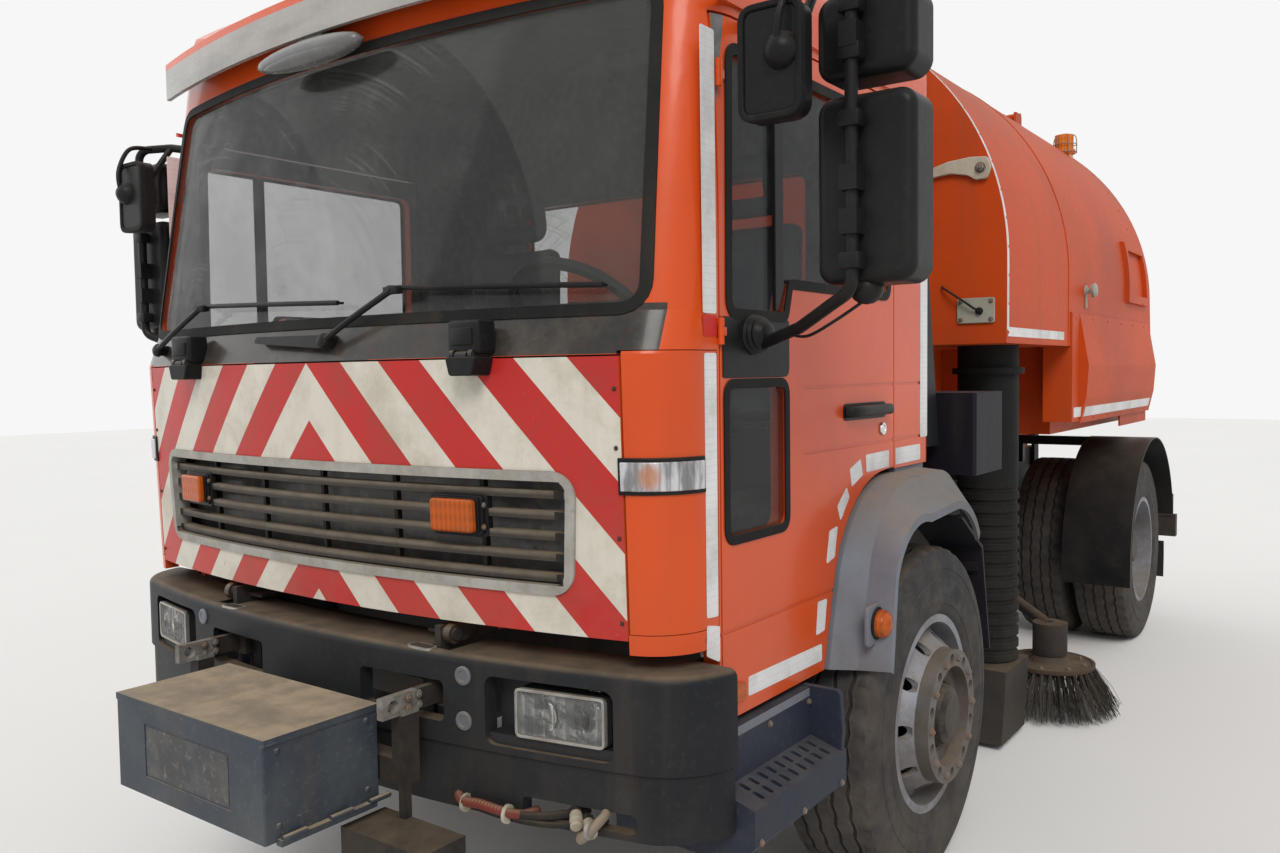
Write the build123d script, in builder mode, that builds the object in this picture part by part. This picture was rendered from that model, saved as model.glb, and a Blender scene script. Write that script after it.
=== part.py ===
from build123d import *
import os
from math import asin, cos, degrees, radians, sin, sqrt

# A truck-mounted road sweeper at full size, in millimetres.
# X points to the vehicle's left, Y rearward and Z up. The origin is on the ground, at the
# middle of the overall length and width. Lengths named "back" are measured from the front axle.

front_overhang = 1780.0  # front axle to the face of the control box
wheelbase = 3450.0
rear_overhang = 900.0  # rear axle to the rear bumper
overall_length = front_overhang + wheelbase + rear_overhang
front_axle_y = front_overhang - overall_length / 2
rear_axle_y = front_axle_y + wheelbase

seat_gap = 0.3  # between a fitted piece and its seat
pin_gap = 0.1  # between a pin and its bore, in radius
panel_gap = 6.0  # between panels that move past each other
rear_corner = 36.0  # round of the cab's and the bumper's rear corners, seen from above


def at(back):
    return front_axle_y + back


def block(x, y, z, mode=Mode.ADD):
    # a box between two corners, given as three (low, high) pairs
    middle = tuple((low + high) / 2 for low, high in (x, y, z))
    with Locations(middle):
        Box(*[high - low for low, high in (x, y, z)], mode=mode)


def rod(start, end, radius, mode=Mode.ADD):
    # a round bar between two points
    reach = Vector(*end) - Vector(*start)
    with BuildPart(mode=Mode.PRIVATE) as bar:
        with BuildSketch(Plane(origin=start, z_dir=reach)):
            Circle(radius)
        extrude(amount=reach.length)
    add(bar.part, mode=mode)


def side_face(points, inset=0.0, corner=0.0):
    # an outline in the plane of Y and Z
    with BuildSketch(Plane.YZ) as face:
        with BuildLine():
            Polyline(*points, close=True)
        make_face()
        if corner:
            fillet(face.vertices(), corner)
        if inset:
            offset(amount=-inset, kind=Kind.INTERSECTION)
    return face.sketch


def front_face(points, inset=0.0, corner=0.0):
    # an outline in the plane of X and Z
    with BuildSketch(Plane.XZ) as face:
        with BuildLine():
            Polyline(*points, close=True)
        make_face()
        if corner:
            fillet(face.vertices(), corner)
        if inset:
            offset(amount=-inset, kind=Kind.INTERSECTION)
    return face.sketch


def slab(face, low, high, mode=Mode.ADD):
    # an outline made solid between two places along its own normal
    normal = face.faces()[0].normal_at()
    moved = face.moved(Location(normal * low))
    extrude(moved, amount=high - low, dir=normal, mode=mode)


def plan_face(height, nose, bow_radius, corner_radius, half_width, rear, inset):
    # a level section: bowed front, round corners and straight sides, drawn in by the inset
    corner_x = half_width - corner_radius
    reach = bow_radius - corner_radius
    corner_y = nose + bow_radius - sqrt(reach**2 - corner_x**2)
    lean = asin(corner_x / reach)
    bow, turn, half = bow_radius - inset, corner_radius - inset, half_width - inset
    join = (bow * sin(lean), nose + bow_radius - bow * cos(lean))
    middle = (
        corner_x + turn * sin((lean + radians(90)) / 2), corner_y - turn * cos((lean + radians(90)) / 2)
    )
    with BuildSketch(Plane.XY.offset(height)) as face:
        with BuildLine():
            ThreePointArc((-join[0], join[1]), (0, nose + inset), join)
            for side in (1, -1):
                ThreePointArc((side * join[0], join[1]), (side * middle[0], middle[1]), (side * half, corner_y))
                if inset < rear_corner:
                    turn_rear = rear_corner - inset
                    Line((side * half, corner_y), (side * half, rear - rear_corner))
                    ThreePointArc(
                        (side * half, rear - rear_corner),
                        (side * (half - turn_rear * (1 - sin(radians(45)))),
                         rear - rear_corner + turn_rear * sin(radians(45))),
                        (side * (half - turn_rear), rear - inset),
                    )
                else:
                    turn_rear = 0.0
                    Line((side * half, corner_y), (side * half, rear - inset))
            Line((turn_rear - half, rear - inset), (half - turn_rear, rear - inset))
        make_face()
    return face.sketch


def mirrored(part):
    # the same piece on the vehicle's right
    with BuildPart() as other:
        add(part)
        mirror(about=Plane.YZ, mode=Mode.REPLACE)
    return other.part


def both_sides(part):
    # a piece and its mirror image, as two solids of one node
    with BuildPart() as pair:
        add(part)
        mirror(about=Plane.YZ)
    return pair.part


nodes = {}

# Wheels and tyres

tyre_radius = 510.0
tyre_width = 288.0
bead_radius = 286.7
rim_half_width = 130.0
rim_thickness = 10.7
flange_radius = 302.0
front_tyre_x = 1050.0
twin_spacing = 330.0
rear_tyre_x = 1008.0
hub_radius = 110.0
front_spindle_radius = 40.0
rear_spindle_radius = 50.0
hand_hole_count = 10
hand_hole_radius = 20.0
stud_circle = 175.0  # radius of the ring of wheel nuts


def axle_plane(x, y):
    # across the wheel: first coordinate along the axle, second up from its centre
    return Plane(origin=(x, y, tyre_radius), x_dir=(1, 0, 0), z_dir=(0, -1, 0))


def axle_line(y):
    return Axis((0, y, tyre_radius), (1, 0, 0))


def tyre_solid(x, y):
    half = tyre_width / 2
    bead = rim_half_width - 12.3
    with BuildPart() as ring:
        with BuildSketch(axle_plane(x, y)):
            with BuildLine():
                for side in (1, -1):
                    Line((0, bead_radius + seat_gap), (side * bead, bead_radius + seat_gap))
                    Line((side * bead, bead_radius + seat_gap), (side * bead, flange_radius + 2))
                    wall = ThreePointArc(
                        (side * bead, flange_radius + 2), (side * half, 395), (side * (half - 14), 485)
                    )
                    Line(wall @ 1, (side * (half - 32), tyre_radius))
                    Line((side * (half - 32), tyre_radius), (0, tyre_radius))
            make_face()
        revolve(axis=axle_line(y))
    return ring.part


def rim_outline(x):
    # the rim's channel, as (along the axle, from its centre)
    inner = bead_radius - rim_thickness
    seat = rim_half_width - 12.0
    return [
        (x - rim_half_width, flange_radius), (x - seat, flange_radius), (x - seat, bead_radius),
        (x + seat, bead_radius), (x + seat, flange_radius), (x + rim_half_width, flange_radius),
        (x + rim_half_width, inner), (x - rim_half_width, inner),
    ]


rim_inner = bead_radius - rim_thickness
front_disc = [
    (38, rim_inner + 1), (60, rim_inner + 1), (84, 250), (122, 224), (150, 204), (150, hub_radius - 10),
    (138, hub_radius - 10), (138, 196), (112, 212), (72, 240),
]
front_drum = [(-70, 200), (-70, 148), (55, 148), (55, 100), (72, 100), (72, 200)]
front_hub = [(-60, 92), (-60, front_spindle_radius + pin_gap), (100, front_spindle_radius + pin_gap),
             (100, 0), (192, 0), (192, 62), (180, 84), (138, 100), (138, hub_radius), (60, hub_radius)]
nut_ring = [(149, 150), (190, 150), (190, 200), (149, 200)]

with BuildPart() as front_wheel:
    for outline in (rim_outline(0), front_disc, front_drum, front_hub, nut_ring):
        with BuildSketch(axle_plane(front_tyre_x, front_axle_y)):
            with BuildLine():
                Polyline(*outline, close=True)
            make_face()
        revolve(axis=axle_line(front_axle_y))
    with BuildSketch(Plane.YZ.offset(front_tyre_x + 76)):
        with Locations((front_axle_y, tyre_radius)):
            with PolarLocations(222, hand_hole_count):
                Circle(hand_hole_radius)
    extrude(amount=70, mode=Mode.SUBTRACT)
    with BuildSketch(Plane.YZ.offset(front_tyre_x + 156)):
        with Locations((front_axle_y, tyre_radius)):
            with PolarLocations(stud_circle, hand_hole_count, start_angle=18):
                Circle(16)
    extrude(amount=60, mode=Mode.SUBTRACT)
nodes["front_wheel_left"] = front_wheel.part
nodes["front_wheel_right"] = mirrored(front_wheel.part)
nodes["front_tyre_left"] = tyre_solid(front_tyre_x, front_axle_y)
nodes["front_tyre_right"] = mirrored(nodes["front_tyre_left"])

# The twin wheels' two discs meet on one hub flange between the tyres.
inner_tyre_x = rear_tyre_x - twin_spacing
flange_x = (rear_tyre_x + inner_tyre_x) / 2
outer_disc = [
    (rear_tyre_x - 38, rim_inner + 1), (rear_tyre_x - 60, rim_inner + 1), (rear_tyre_x - 84, 250),
    (flange_x + 42, 222), (flange_x, 206), (flange_x, hub_radius - 4), (flange_x + 12, hub_radius - 4),
    (flange_x + 12, 196), (flange_x + 52, 210), (rear_tyre_x - 72, 240),
]
inner_disc = [
    (inner_tyre_x + 38, rim_inner + 1), (inner_tyre_x + 60, rim_inner + 1), (inner_tyre_x + 84, 250),
    (flange_x - 42, 222), (flange_x + 1, 206), (flange_x + 1, hub_radius - 4),
    (flange_x - 12, hub_radius - 4), (flange_x - 12, 196), (flange_x - 52, 210), (inner_tyre_x + 72, 240),
]
hub_inner_x = 600.0
rear_hub = [
    (hub_inner_x, hub_radius), (hub_inner_x, rear_spindle_radius + pin_gap),
    (1050, rear_spindle_radius + pin_gap), (1050, 0), (1100, 0), (1100, 70), (1080, 92),
    (flange_x + 40, 100), (flange_x + 40, hub_radius),
]
rear_drum = [(600, 205), (600, 160), (735, 160), (735, 100), (752, 100), (752, 205)]
rear_nut_ring = [(flange_x + 10, 152), (flange_x + 40, 152), (flange_x + 40, 196), (flange_x + 10, 196)]
with BuildPart() as rear_wheel:
    for outline in (
        rim_outline(rear_tyre_x), rim_outline(inner_tyre_x), outer_disc, inner_disc,
        rear_hub, rear_drum, rear_nut_ring,
    ):
        with BuildSketch(axle_plane(0, rear_axle_y)):
            with BuildLine():
                Polyline(*outline, close=True)
            make_face()
        revolve(axis=axle_line(rear_axle_y))
    with BuildSketch(Plane.YZ.offset(inner_tyre_x + 60)):
        with Locations((rear_axle_y, tyre_radius)):
            with PolarLocations(228, hand_hole_count):
                Circle(hand_hole_radius)
    extrude(amount=twin_spacing - 120, mode=Mode.SUBTRACT)
nodes["rear_wheel_left"] = rear_wheel.part
nodes["rear_wheel_right"] = mirrored(rear_wheel.part)
with BuildPart() as twin_tyres:
    add(tyre_solid(rear_tyre_x, rear_axle_y))
    add(tyre_solid(inner_tyre_x, rear_axle_y))
nodes["rear_tyres_left"] = twin_tyres.part
nodes["rear_tyres_right"] = mirrored(twin_tyres.part)

# Chassis

rail_outer_x = 425.0
rail_flange = 70.0
rail_wall = 8.0
frame_low = 680.0
frame_top = 930.0
frame_front = -1290.0  # back
frame_rear = wheelbase + rear_overhang - 70.0
spring_half_length = 740.0
spring_width = 72.0
spring_leaf = 14.0
# back, top of the spring at its middle and rise of its ends
spring_sets = [(0.0, 560.0, 70.0), (wheelbase, 628.5, 38.0)]
tilt_back = -1310.0  # the cab's tilting pins
tilt_z = 935.0
tilt_pin_radius = 15.0
tilt_arm_x = (455.0, 475.0)
subframe_top = 1060.0
tip_back = 3800.0  # the hopper's tipping pins
tip_z = 1115.0
tip_pin_radius = 20.0
tip_lug_x = (430.0, 450.0)
cross_members = [-1180.0, 760.0, 1500.0, 2350.0, 2980.0, 3920.0]  # back

with BuildPart() as chassis:
    for side in (1, -1):
        with BuildSketch(Plane.XZ.offset(-at(frame_front))):
            with BuildLine():
                outer, inner = side * rail_outer_x, side * (rail_outer_x - rail_flange)
                web = side * (rail_outer_x - rail_wall)
                Polyline(
                    (outer, frame_low), (inner, frame_low), (inner, frame_low + rail_wall),
                    (web, frame_low + rail_wall), (web, frame_top - rail_wall),
                    (inner, frame_top - rail_wall), (inner, frame_top), (outer, frame_top), close=True
                )
            make_face()
        extrude(amount=-(frame_rear - frame_front))
    for back in cross_members:
        block((-rail_outer_x + 4, rail_outer_x - 4), (at(back - 30), at(back + 30)), (760, 880))
    for side in (1, -1):
        # spring hangers under the rails
        for axle, seat_z, drop in spring_sets:
            for end in (-spring_half_length, spring_half_length):
                inward = 30 if end < 0 else -30
                edges = sorted((at(axle + end), at(axle + end - inward)))
                block(
                    sorted((side * (rail_outer_x - 6), side * (rail_outer_x - 66))),
                    edges, (seat_z + drop + seat_gap, frame_low + 4),
                )
        # tipping subframe on the rails
        block(
            sorted((side * (rail_outer_x - rail_flange), side * rail_outer_x)),
            (at(950), at(3900)), (frame_top - 1, subframe_top),
        )
        # lugs and pins of the tipping hinge
        block(
            sorted((side * tip_lug_x[0], side * tip_lug_x[1])),
            (at(tip_back - 45), at(tip_back + 45)), (subframe_top - 120, tip_z + 40),
        )
        rod(
            (side * (rail_outer_x - 60), at(tip_back), tip_z),
            (side * (tip_lug_x[1] + 4), at(tip_back), tip_z), tip_pin_radius,
        )
        block(
            sorted((side * (rail_outer_x - 4), side * (tip_lug_x[0] + 2))),
            (at(tip_back - 45), at(tip_back + 45)), (subframe_top - 120, subframe_top - 10),
        )
        # bracket and pin of the cab's tilting hinge
        block(
            sorted((side * (rail_outer_x - 5), side * (rail_outer_x + 15))),
            (at(tilt_back - 18), at(frame_front + 90)), (frame_top - 60, tilt_z + 18),
        )
        rod(
            (side * (rail_outer_x + 2), at(tilt_back), tilt_z),
            (side * (tilt_arm_x[1] + 6), at(tilt_back), tilt_z), tilt_pin_radius,
        )
    # hoop that carries the back of the cab
    for side in (1, -1):
        block(
            sorted((side * 352, side * 412)), (at(176), at(226)), (frame_top - 2, 1150),
        )
    block((-412, 412), (at(176), at(226)), (1130, 1180 - seat_gap))
nodes["chassis_frame"] = chassis.part

kingpin_x = 880.0
kingpin_radius = 20.0
beam_z = (400.0, 490.0)
with BuildPart() as front_beam:
    block((-790, 790), (front_axle_y - 42, front_axle_y + 42), beam_z)
    block((-780, 780), (front_axle_y - 60, front_axle_y - 14), (beam_z[0] + 18, beam_z[1] - 18), Mode.SUBTRACT)
    block((-780, 780), (front_axle_y + 14, front_axle_y + 60), (beam_z[0] + 18, beam_z[1] - 18), Mode.SUBTRACT)
    for side in (1, -1):
        block(sorted((side * 770, side * 870)), (front_axle_y - 38, front_axle_y + 38), (455, 545))
        with Locations((side * kingpin_x, front_axle_y, 500)):
            Cylinder(45, 90)
            Cylinder(kingpin_radius + pin_gap, 200, mode=Mode.SUBTRACT)
        block(
            sorted((side * 350, side * 428)), (front_axle_y - 70, front_axle_y + 70),
            (beam_z[1] - 1, spring_sets[0][1] - 4 * spring_leaf - seat_gap),
        )
nodes["front_axle"] = front_beam.part

with BuildPart() as knuckle:
    for low, high in ((408, 452), (548, 592)):
        with Locations((kingpin_x, front_axle_y, (low + high) / 2)):
            Cylinder(46, high - low)
        block((kingpin_x, 966), (front_axle_y - 46, front_axle_y + 46), (low, high))
    block((934, 966), (front_axle_y - 70, front_axle_y + 70), (408, 602))
    rod((960, front_axle_y, tyre_radius), (front_tyre_x + 92, front_axle_y, tyre_radius), front_spindle_radius)
    with Locations((kingpin_x, front_axle_y, 500)):
        Cylinder(kingpin_radius, 150)
    # steering arm
    with Locations((kingpin_x, front_axle_y, 390)):
        Cylinder(46, 40)
    block((790, 880), (front_axle_y + 10, front_axle_y + 42), (370, 394))
    block((790, 822), (front_axle_y + 10, front_axle_y + 210), (370, 394))
nodes["knuckle_left"] = knuckle.part
nodes["knuckle_right"] = mirrored(knuckle.part)

axle_tube_radius = 62.0
gearbox_back = 620.0
with BuildPart() as rear_axle:
    rod((-hub_inner_x + 8, rear_axle_y, tyre_radius), (hub_inner_x - 8, rear_axle_y, tyre_radius), axle_tube_radius)
    rod((-1048, rear_axle_y, tyre_radius), (1048, rear_axle_y, tyre_radius), rear_spindle_radius)
    with Locations((0, rear_axle_y, tyre_radius)):
        Sphere(180)
    rod((0, rear_axle_y - 120, tyre_radius), (0, rear_axle_y - 300, tyre_radius + 12), 75)
    rod((0, rear_axle_y - 290, tyre_radius + 11), (0, at(gearbox_back) + 16, 640), 48)
    rod((0, at(gearbox_back) + 24, 640), (0, at(gearbox_back) + seat_gap, 640), 62)
    for side in (1, -1):
        block(
            sorted((side * 350, side * 428)), (rear_axle_y - 75, rear_axle_y + 75),
            (tyre_radius - 40, spring_sets[1][1] - 4 * spring_leaf - seat_gap),
        )
nodes["rear_axle"] = rear_axle.part

leaf_spans = [spring_half_length, 600.0, 440.0, 280.0]  # half length of each leaf, from the top
with BuildPart() as springs:
    for axle_back, seat_z, drop in spring_sets:
        axle = at(axle_back)
        bow_radius = (spring_half_length**2 + drop**2) / (2 * drop)
        for number, span in enumerate(leaf_spans):
            turn = asin(span / bow_radius)
            top, low = bow_radius + number * spring_leaf, bow_radius + (number + 1) * spring_leaf
            centre_z = seat_z + bow_radius
            with BuildSketch(Plane.YZ.offset(rail_outer_x - spring_width)):
                with BuildLine():
                    ends = []
                    for r in (top, low):
                        ends.append([
                            (axle - r * sin(turn), centre_z - r * cos(turn)), (axle, centre_z - r),
                            (axle + r * sin(turn), centre_z - r * cos(turn)),
                        ])
                        ThreePointArc(*ends[-1])
                    Line(ends[0][0], ends[1][0])
                    Line(ends[0][2], ends[1][2])
                make_face()
            extrude(amount=spring_width)
    mirror(about=Plane.YZ)
nodes["leaf_springs"] = springs.part

with BuildPart() as engine:
    block((-280, 280), (at(-860), at(120)), (560, 1130))
    block((-180, 180), (at(100), at(gearbox_back)), (560, 820))
    block((-330, 330), (at(-1040), at(-950)), (620, 1120))
    block((-120, 120), (at(-960), at(-850)), (640, 1000))
nodes["engine_block"] = engine.part

# Front bumper, steps and lamps

bumper_half_width = 1145.0
bumper_nose = -1395.0
bumper_bow_radius = 4150.0
bumper_corner_radius = 200.0
bumper_end = -1100.0
bumper_wall = 40.0
bumper_top = 905.0
bumper_seam = 684.0
apron_low = 532.0


def bumper_form(inset, low, high):
    with BuildPart() as form:
        face = plan_face(
            low, at(bumper_nose), bumper_bow_radius, bumper_corner_radius, bumper_half_width, at(-900), inset
        )
        extrude(face, amount=high - low)
    return form.part


lamp_pocket = ((608.0, 938.0), (703.0, 865.0))  # across, up
lamp_lens = ((690.0, 916.0), (732.0, 845.0))
bumper_slot = ((209.0, 487.0), (736.0, 835.0))
hose_recess = ((700.0, 985.0), (548.0, 592.0))
shelf_depth = 150.0
shelf_sheet = 14.0
bumper_edge_radius = 20.0
pocket_depth = 62.0
with BuildPart() as bumper:
    add(bumper_form(0, bumper_seam + 2, bumper_top))
    fillet(bumper.faces().sort_by(Axis.Z)[-1].edges(), bumper_edge_radius)
    add(bumper_form(8, apron_low, bumper_seam - 2))
    add(bumper_form(bumper_wall, apron_low - 5, bumper_top - shelf_sheet), mode=Mode.SUBTRACT)
    add(bumper_form(shelf_depth, bumper_top - shelf_sheet - 1, bumper_top + 5), mode=Mode.SUBTRACT)
    block((-1300, 1300), (at(bumper_end), at(-800)), (apron_low - 5, bumper_top + 5), Mode.SUBTRACT)
    for side in (1, -1):
        # slots for the carrier's jaws, with round corners
        with BuildSketch(Plane.XZ.offset(-at(-1180))):
            with Locations((side * sum(bumper_slot[0]) / 2, sum(bumper_slot[1]) / 2)):
                RectangleRounded(
                    bumper_slot[0][1] - bumper_slot[0][0], bumper_slot[1][1] - bumper_slot[1][0], 16
                )
            with Locations((side * sum(lamp_pocket[0]) / 2, sum(lamp_pocket[1]) / 2)):
                RectangleRounded(
                    lamp_pocket[0][1] - lamp_pocket[0][0], lamp_pocket[1][1] - lamp_pocket[1][0], 26
                )
        extrude(amount=300, mode=Mode.SUBTRACT)
        # room for the tilting arms behind the shelf
        block(
            sorted((side * (rail_outer_x - 13), side * (tilt_arm_x[1] + 14))),
            (at(-1345), at(-1200)), (bumper_top - 40, bumper_top + 5), Mode.SUBTRACT,
        )
    with BuildSketch(Plane.XZ.offset(-at(-1180))):
        with Locations((sum(hose_recess[0]) / 2, sum(hose_recess[1]) / 2)):
            RectangleRounded(hose_recess[0][1] - hose_recess[0][0], hose_recess[1][1] - hose_recess[1][0], 14)
    extrude(amount=300, mode=Mode.SUBTRACT)
    for side in (1, -1):
        # brackets against the ends of the frame rails
        for low, high in ((846, 874), (640, 668)):
            block(
                sorted((side * (rail_outer_x - 80), side * (rail_outer_x - 14))),
                (at(-1352), at(frame_front) - seat_gap), (low, high),
            )
        # plate that joins the brackets and both parts, against the flanges' ends
        block(
            sorted((side * (rail_outer_x - 78), side * (rail_outer_x - 41))),
            (at(frame_front) - 14, at(frame_front) - seat_gap), (640, 874),
        )
nodes["front_bumper"] = bumper.part

lamp_case_back = -1215.0
with BuildPart() as lamp_lenses:
    add(bumper_form(9, lamp_lens[1][0], lamp_lens[1][1]))
    block(lamp_lens[0], (at(-1450), at(-1262)), lamp_lens[1], Mode.INTERSECT)
    fillet(lamp_lenses.edges().filter_by(Axis.Y), 8)
with BuildPart() as lamp_case:
    add(bumper_form(pocket_depth, bumper_seam + 3, lamp_pocket[1][1] + 6))
    block(
        (lamp_pocket[0][0] - 6, lamp_pocket[0][1] + 6), (at(-1450), at(lamp_case_back)),
        (bumper_seam + 2, lamp_pocket[1][1] + 6), Mode.INTERSECT,
    )
with BuildPart() as lamp_ledge:
    # the pocket's sloping floor and its inner end
    add(bumper_form(12, lamp_pocket[1][0] + seat_gap, lamp_lens[1][0] - 4))
    block(
        (lamp_pocket[0][0] + 1, lamp_pocket[0][1] - 1), (at(-1450), at(-1225)),
        (lamp_pocket[1][0] + seat_gap, lamp_lens[1][0] - 4), Mode.INTERSECT,
    )
with BuildPart() as road_lamps:
    add(lamp_lenses.part)
    add(lamp_case.part)
    add(lamp_ledge.part)
    add(bumper_form(0, bumper_seam, bumper_top), mode=Mode.INTERSECT)
    with BuildPart(mode=Mode.PRIVATE) as wall_only:
        add(bumper.part)
    add(wall_only.part, mode=Mode.SUBTRACT)
    mirror(about=Plane.YZ)
nodes["headlamps"] = road_lamps.part

step_front = -1090.0
step_rear = -618.0
step_inner_x = 790.0
step_top = 738.0
step_tread_z = 585.0
step_outer_x = 1180.0
step_sheet = 10.0
with BuildPart() as step:
    with BuildSketch(Plane.XZ.offset(-at(step_front))):
        with BuildLine():
            Polyline(
                (step_inner_x, step_top), (1086, step_top), (1090, 612), (step_outer_x, step_tread_z),
                (step_outer_x, 500), (1130, 450), (1124, 458), (step_outer_x - step_sheet, 505),
                (step_outer_x - step_sheet, step_tread_z - step_sheet), (1080, 600),
                (1076, step_top - step_sheet), (step_inner_x, step_top - step_sheet), close=True
            )
        make_face()
    extrude(amount=step_front - step_rear)
    # end plates close the step box in front and against the wheel
    for low, high in ((step_front, step_front + 8), (step_rear - 8, step_rear)):
        with BuildSketch(Plane.XZ.offset(-at(low))):
            with BuildLine():
                Polyline(
                    (step_inner_x, step_top - 1), (1085, step_top - 1), (1089, 611), (step_outer_x - 1, 584),
                    (step_outer_x - 1, 500), (1130, 452), (step_inner_x, 452), close=True
                )
            make_face()
        extrude(amount=low - high)
    block((rail_outer_x + seat_gap, step_inner_x + 20), (at(-1000), at(-960)), (700, 728))
    block((rail_outer_x + seat_gap, step_inner_x + 20), (at(-760), at(-720)), (700, 728))
    # cleaning slots through the tread
    with BuildSketch(Plane.XY.offset(step_tread_z - 40)):
        with Locations((1132, at((step_front + step_rear) / 2))):
            with GridLocations(36, 42, 2, 9):
                SlotOverall(30, 14)
    extrude(amount=80, mode=Mode.SUBTRACT)
nodes["cab_steps"] = both_sides(step.part)

# Attachment carrier and control box on the nose

carrier_x = (420.0, 440.0)
carrier_hole_radius = 16.0
carrier_hole = (-1480.0, 802.0)  # back, height
box_x = (-240.0, 371.0)
box_front = -1780.0
box_rear = -1470.0
box_z = (557.0, 787.0)
with BuildPart() as carrier:
    for side in (1, -1):
        block(
            sorted((side * carrier_x[0], side * carrier_x[1])),
            (at(-1512), at(frame_front) - seat_gap), (768, 818),
        )
        block(
            sorted((side * (carrier_x[0] - 30), side * (carrier_x[1] + 20))),
            (at(-1325), at(frame_front) - seat_gap), (758, 818),
        )
        with BuildSketch(Plane.YZ.offset(-600)):
            with Locations((at(carrier_hole[0]), 793)):
                Circle(carrier_hole_radius)
        extrude(amount=1200, mode=Mode.SUBTRACT)
        block(
            sorted((side * (carrier_x[0] - 10), side * (carrier_x[1] + 10))),
            (at(-1462), at(-1412)), (620, 780),
        )
    block((-450, 450), (at(-1462), at(-1412)), (600, 660))
    block((-200, 330), (at(box_rear) + seat_gap, at(-1450)), (610, 650))
    # foot of the carrier on the vehicle's left
    block((352, 628), (at(-1570), at(-1440)), (440, 522))
    block((430, 450), (at(-1462), at(-1440)), (500, 640))
nodes["front_carrier"] = carrier.part

with BuildPart() as control_box:
    block(box_x, (at(box_front), at(box_rear)), (box_z[0], box_z[1]))
    fillet(control_box.edges().filter_by(Axis.Z), 5)
    # blank plate on the face, sunk by its own thickness
    block((box_x[0] + 128, box_x[1] - 128), (at(box_front - 5), at(box_front + 2)), (box_z[0] + 48, box_z[1] - 52),
          Mode.SUBTRACT)
    # folded rim round the lid
    with BuildSketch(Plane.XY.offset(box_z[1] - 14)):
        with Locations((sum(box_x) / 2, at((box_front + box_rear) / 2))):
            Rectangle(box_x[1] - box_x[0] + 6, box_rear - box_front - 1)
    extrude(amount=16)
    # hinge ledge along the bottom
    block((box_x[1] - 4, box_x[1] + 16), (at(box_front + 30), at(box_rear - 20)), (box_z[0] - 8, box_z[0] + 6))
    for back in (-1745.0, -1620.0, -1510.0):
        rod((box_x[1] + 12, at(back), box_z[0] + 8), (box_x[1] + 12, at(back + 60), box_z[0] + 8), 7)
nodes["control_box"] = control_box.part

# Tanks and boxes beside the frame

locker_y = (at(484), at(785))
rear_half_line = [
    (348.0, 1064.0), (556.0, 934.0), (640.0, 560.0), (650.0, 560.0), (566.0, 941.0), (354.0, 1073.0),
]
with BuildPart() as lockers:
    block((rail_outer_x + 115, 1150), locker_y, (1195, 1480))
    chamfer(lockers.edges().filter_by(Axis.Z), 10)
    block((rail_outer_x + seat_gap, 600), (at(560), at(600)), (820, 900))
    block((560, 600), (at(560), at(600)), (820, 1200))
    # rear halves of the front mudguards, held clear of the cab's flares
    for side in (1, -1):
        with BuildSketch(Plane.YZ.offset(side * 1055 - 95)):
            with BuildLine():
                Polyline([(at(back), z) for back, z in rear_half_line], close=True)
            make_face()
        extrude(amount=190)
        block(
            sorted((side * (rail_outer_x + seat_gap), side * 1130)), (at(560), at(600)), (850, 880),
        )
    # fuel tank on the vehicle's right
    block((-1080, -560), (at(800), at(1150)), (560, 1000))
    block((-600, -rail_outer_x - seat_gap), (at(950), at(990)), (720, 800))
nodes["side_lockers"] = lockers.part

# Sweeping gear

duct_x = 900.0
duct_back = 1400.0
duct_radius = 125.0
duct_wall = 6.0
hopper_front_floor = 1660.0
hose_top = 1120.0
nozzle_top = 320.0
with BuildPart() as duct:
    with BuildSketch(Plane.XY.offset(hose_top - 60)):
        with Locations((duct_x, at(duct_back))):
            Circle(duct_radius)
            Circle(duct_radius - duct_wall, mode=Mode.SUBTRACT)
    extrude(amount=hopper_front_floor - seat_gap - hose_top + 60)
    with BuildSketch(Plane.XY.offset(1540)):
        with Locations((duct_x, at(duct_back))):
            Circle(duct_radius + 22)
            Circle(duct_radius - duct_wall, mode=Mode.SUBTRACT)
    extrude(amount=26)
    block((rail_outer_x + seat_gap, duct_x - 100), (at(duct_back - 20), at(duct_back + 20)), (1080, 1120))
    block((rail_outer_x + seat_gap, rail_outer_x + 30), (at(duct_back - 20), at(duct_back + 20)), (1000, 1090))
nodes["suction_ducts"] = both_sides(duct.part)

hose_rings = 14
with BuildPart() as hose:
    pitch = (hose_top - 62 - nozzle_top) / hose_rings
    with BuildSketch(Plane.XY.offset(nozzle_top + seat_gap)):
        with Locations((duct_x, at(duct_back))):
            Circle(duct_radius - 4)
            Circle(duct_radius - 14, mode=Mode.SUBTRACT)
    extrude(amount=hose_top - 60 - nozzle_top - 2 * seat_gap)
    for number in range(hose_rings):
        with BuildSketch(Plane.XY.offset(nozzle_top + 6 + number * pitch)):
            with Locations((duct_x, at(duct_back))):
                Circle(duct_radius + 4)
                Circle(duct_radius - 8, mode=Mode.SUBTRACT)
        extrude(amount=pitch * 0.5)
nodes["suction_hoses"] = both_sides(hose.part)

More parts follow.
